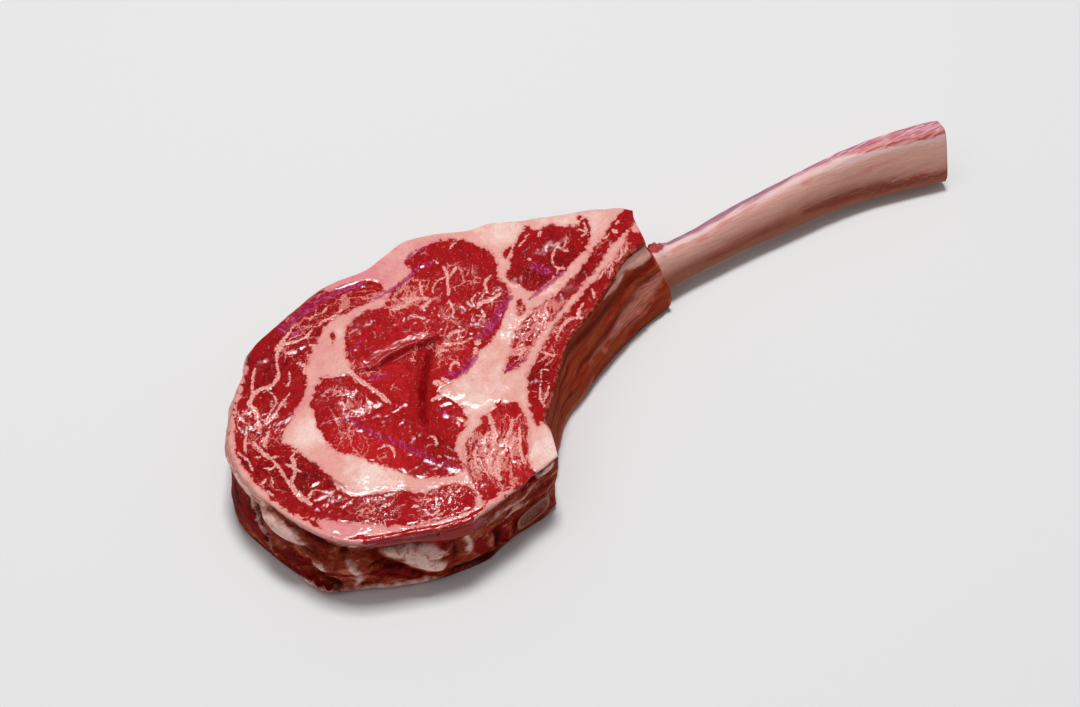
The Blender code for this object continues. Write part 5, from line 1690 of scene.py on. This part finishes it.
def scraped_bone():
    """A scraped rib: dull pinkish bone with a thin film left on it, red where blood stained it."""
    surface, tree = new_material("rib_bone_scraped")
    share, across, blood, pink, film, grey, rust = (
        add(tree, "Attribute", out="Fac", attribute_name=name)
        for name in ("share", "across", "blood", "pink", "film", "grey", "rust"))
    mm = add(tree, "VectorMath", {0: add(tree, "TexCoord", out="Object"), "Scale": 1000.0},
             operation="SCALE")
    # Scraping left streaks along the bone, 3 mm wide and 20 mm long.
    long = add(tree, "VectorMath", {0: mm, 1: (0.05, 0.3, 0.3)}, operation="MULTIPLY")
    streak = add(tree, "TexNoise", {"Vector": long, "Scale": 1.0, "Detail": 4.0, "Roughness": 0.6})
    level = add(tree, "Math", {0: streak, 1: 9.0, 2: -4.5}, operation="MULTIPLY_ADD")
    level = add(tree, "Math", {0: level, 1: across}, operation="ADD")
    thin = add(tree, "VectorMath", {0: mm, 1: (0.11, 0.9, 0.9)}, operation="MULTIPLY")
    thin = add(tree, "TexNoise", {"Vector": thin, "Scale": 1.0, "Detail": 3.0, "Roughness": 0.6})
    # Down from the upper edge: near-white, tan and then brown, partly the bone's own colour and partly
    # painted shade on its lower side.
    to_tan = add(tree, "MapRange", {0: level, 1: 9.0, 2: 15.0}, **SOFT)
    to_brown = add(tree, "MapRange", {0: level, 1: 16.0, 2: 33.0}, **SOFT)
    colour = add(tree, "Mix", {0: to_tan, 6: linear("#EAC4C0"), 7: linear("#E8AC9C")}, **COLOUR)
    colour = add(tree, "Mix", {0: to_brown, 6: colour, 7: linear("#9E5840")}, **COLOUR)
    worn = add(tree, "MapRange", {0: thin, 1: 0.30, 2: 0.52}, **SOFT)
    rusty = add(tree, "Math", {0: worn, 1: rust}, operation="MULTIPLY")
    rusty = add(tree, "Math", {0: rusty, 1: 0.8}, operation="MULTIPLY")
    colour = add(tree, "Mix", {0: rusty, 6: colour, 7: linear("#7E2A12")}, **COLOUR)
    thin_film = add(tree, "Math", {0: worn, 1: film}, operation="MULTIPLY")
    colour = add(tree, "Mix", {0: thin_film, 6: colour, 7: linear("#BC6C84")}, **COLOUR)
    colour = add(tree, "Mix", {0: grey, 6: colour, 7: linear("#987080")}, **COLOUR)
    blush = add(tree, "Math", {0: pink, 1: thin}, operation="MULTIPLY")
    blush = add(tree, "MapRange", {0: blush, 1: 0.15, 2: 0.6, 4: 0.75}, **SOFT)
    colour = add(tree, "Mix", {0: blush, 6: colour, 7: linear("#DC7E78")}, **COLOUR)
    stain = add(tree, "Math", {0: blood, 1: thin}, operation="MULTIPLY")
    stain = add(tree, "MapRange", {0: stain, 1: 0.22, 2: 0.58, 4: 0.85}, **SOFT)
    colour = add(tree, "Mix", {0: stain, 6: colour, 7: linear("#B02A30")}, **COLOUR)
    # The sawn ends: a hard ring round spongy marrow with pores of 1.5 mm.
    ring = add(tree, "MapRange", {0: share, 1: 0.80, 2: 0.86}, **SOFT)
    pores = add(tree, "TexVoronoi", {"Vector": mm, "Scale": 0.7}, out="Distance")
    pores = add(tree, "MapRange", {0: pores, 1: 0.15, 2: 0.6}, **SOFT)
    marrow = add(tree, "Mix", {0: pores, 6: linear("#54180E"), 7: linear("#8A4430")}, **COLOUR)
    hard = add(tree, "Mix", {0: worn, 6: linear("#74402A"), 7: linear("#9C6650")}, **COLOUR)
    face = add(tree, "Mix", {0: ring, 6: marrow, 7: hard}, **COLOUR)
    at_end = add(tree, "MapRange", {0: share, 1: 0.975, 2: 0.95}, **SOFT)
    colour = add(tree, "Mix", {0: at_end, 6: colour, 7: face}, **COLOUR)
    scrape = add(tree, "TexNoise", {"Vector": long, "Scale": 3.5, "Detail": 3.0, "Roughness": 0.6})
    height = add(tree, "Math", {0: scrape, 1: 0.6, 2: streak}, operation="MULTIPLY_ADD")
    bump = add(tree, "Bump", {"Strength": 0.6, "Distance": 0.001, "Height": height})
    shader = add(tree, "BsdfPrincipled", {
        "Base Color": colour, "Roughness": 0.55, "Normal": bump, "IOR": 1.45,
        "Specular IOR Level": 0.15, "Coat Weight": 0.1, "Coat Roughness": 0.3,
    })
    add(tree, "OutputMaterial", {0: shader})
    return surface


# ---------------------------------------------------------------- the scene

FLOOR_LEVEL = -0.0002
LIGHTS_AIM = (-0.06, 0.0, 0.03)
CAMERA_AIM = (-0.05342, -0.01516, 0.045)
CAMERA_DISTANCE = 1.125


def aim(thing, azimuth, elevation, distance, target):
    """Puts a lamp or camera so many degrees round from the front and up, facing the target."""
    az, el = math.radians(azimuth), math.radians(elevation)
    way = Vector((math.sin(az) * math.cos(el), -math.cos(az) * math.cos(el), math.sin(el)))
    thing.location = Vector(target) + way * distance
    thing.rotation_euler = way.to_track_quat("Z", "Y").to_euler()


def stage_and_light():
    scene = bpy.context.scene
    mesh = bpy.data.meshes.new("floor")
    corners = [(x, y, FLOOR_LEVEL) for x, y in ((-3, -3), (3, -3), (3, 3), (-3, 3))]
    mesh.from_pydata(corners, [], [(0, 1, 2, 3)])
    floor = bpy.data.objects.new("floor", mesh)
    scene.collection.objects.link(floor)
    surface, tree = new_material("pale_floor")
    shader = add(tree, "BsdfPrincipled", {"Base Color": linear("#E4E4E4"), "Roughness": 0.9})
    add(tree, "OutputMaterial", {0: shader})
    mesh.materials.append(surface)

    def light(name, azimuth, elevation, distance, size, power):
        data = bpy.data.lights.new(name, "AREA")
        data.size, data.energy = size, power
        lamp = bpy.data.objects.new(name, data)
        aim(lamp, azimuth, elevation, distance, LIGHTS_AIM)
        scene.collection.objects.link(lamp)

    light("window_behind", 150, 79, 3.0, 0.6, 67)
    light("soft_above", -100, 70, 1.6, 1.2, 3)
    world = bpy.data.worlds.new("studio")
    world.use_nodes = True
    world.node_tree.nodes["Background"].inputs[0].default_value = (1, 1, 1, 1)
    world.node_tree.nodes["Background"].inputs[1].default_value = 0.22
    scene.world = world
    scene.view_settings.view_transform = "Standard"
    scene.view_settings.look = "None"


def photo_camera():
    """The camera of the photo: 75 mm lens, 53 degrees above the cut face, 30 degrees round."""
    data = bpy.data.cameras.new("photo_camera")
    data.lens, data.sensor_width = 75.0, 36.0
    data.clip_start, data.clip_end = 0.05, 20
    camera = bpy.data.objects.new("photo_camera", data)
    aim(camera, -30, 53, CAMERA_DISTANCE, CAMERA_AIM)
    bpy.context.scene.collection.objects.link(camera)
    bpy.context.scene.camera = camera


def place_piece(piece, node):
    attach(piece, "root")
    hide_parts(node)


photo_camera()
stage_and_light()
beef, skin, bone = raw_beef(), rib_skin(), scraped_bone()
for name, (points, faces, marks) in cut_into_pieces(uncut_steak()).items():
    surface = skin if name == "rib_membrane" else beef
    place_piece(mesh_piece(name + "_dressed", points, faces, marks, surface), name)
place_piece(mesh_piece("lip_meat_dressed", *lip_piece(), beef), "lip_meat")
place_piece(mesh_piece("rib_bone_dressed", *rib_piece(), bone), "rib_bone")
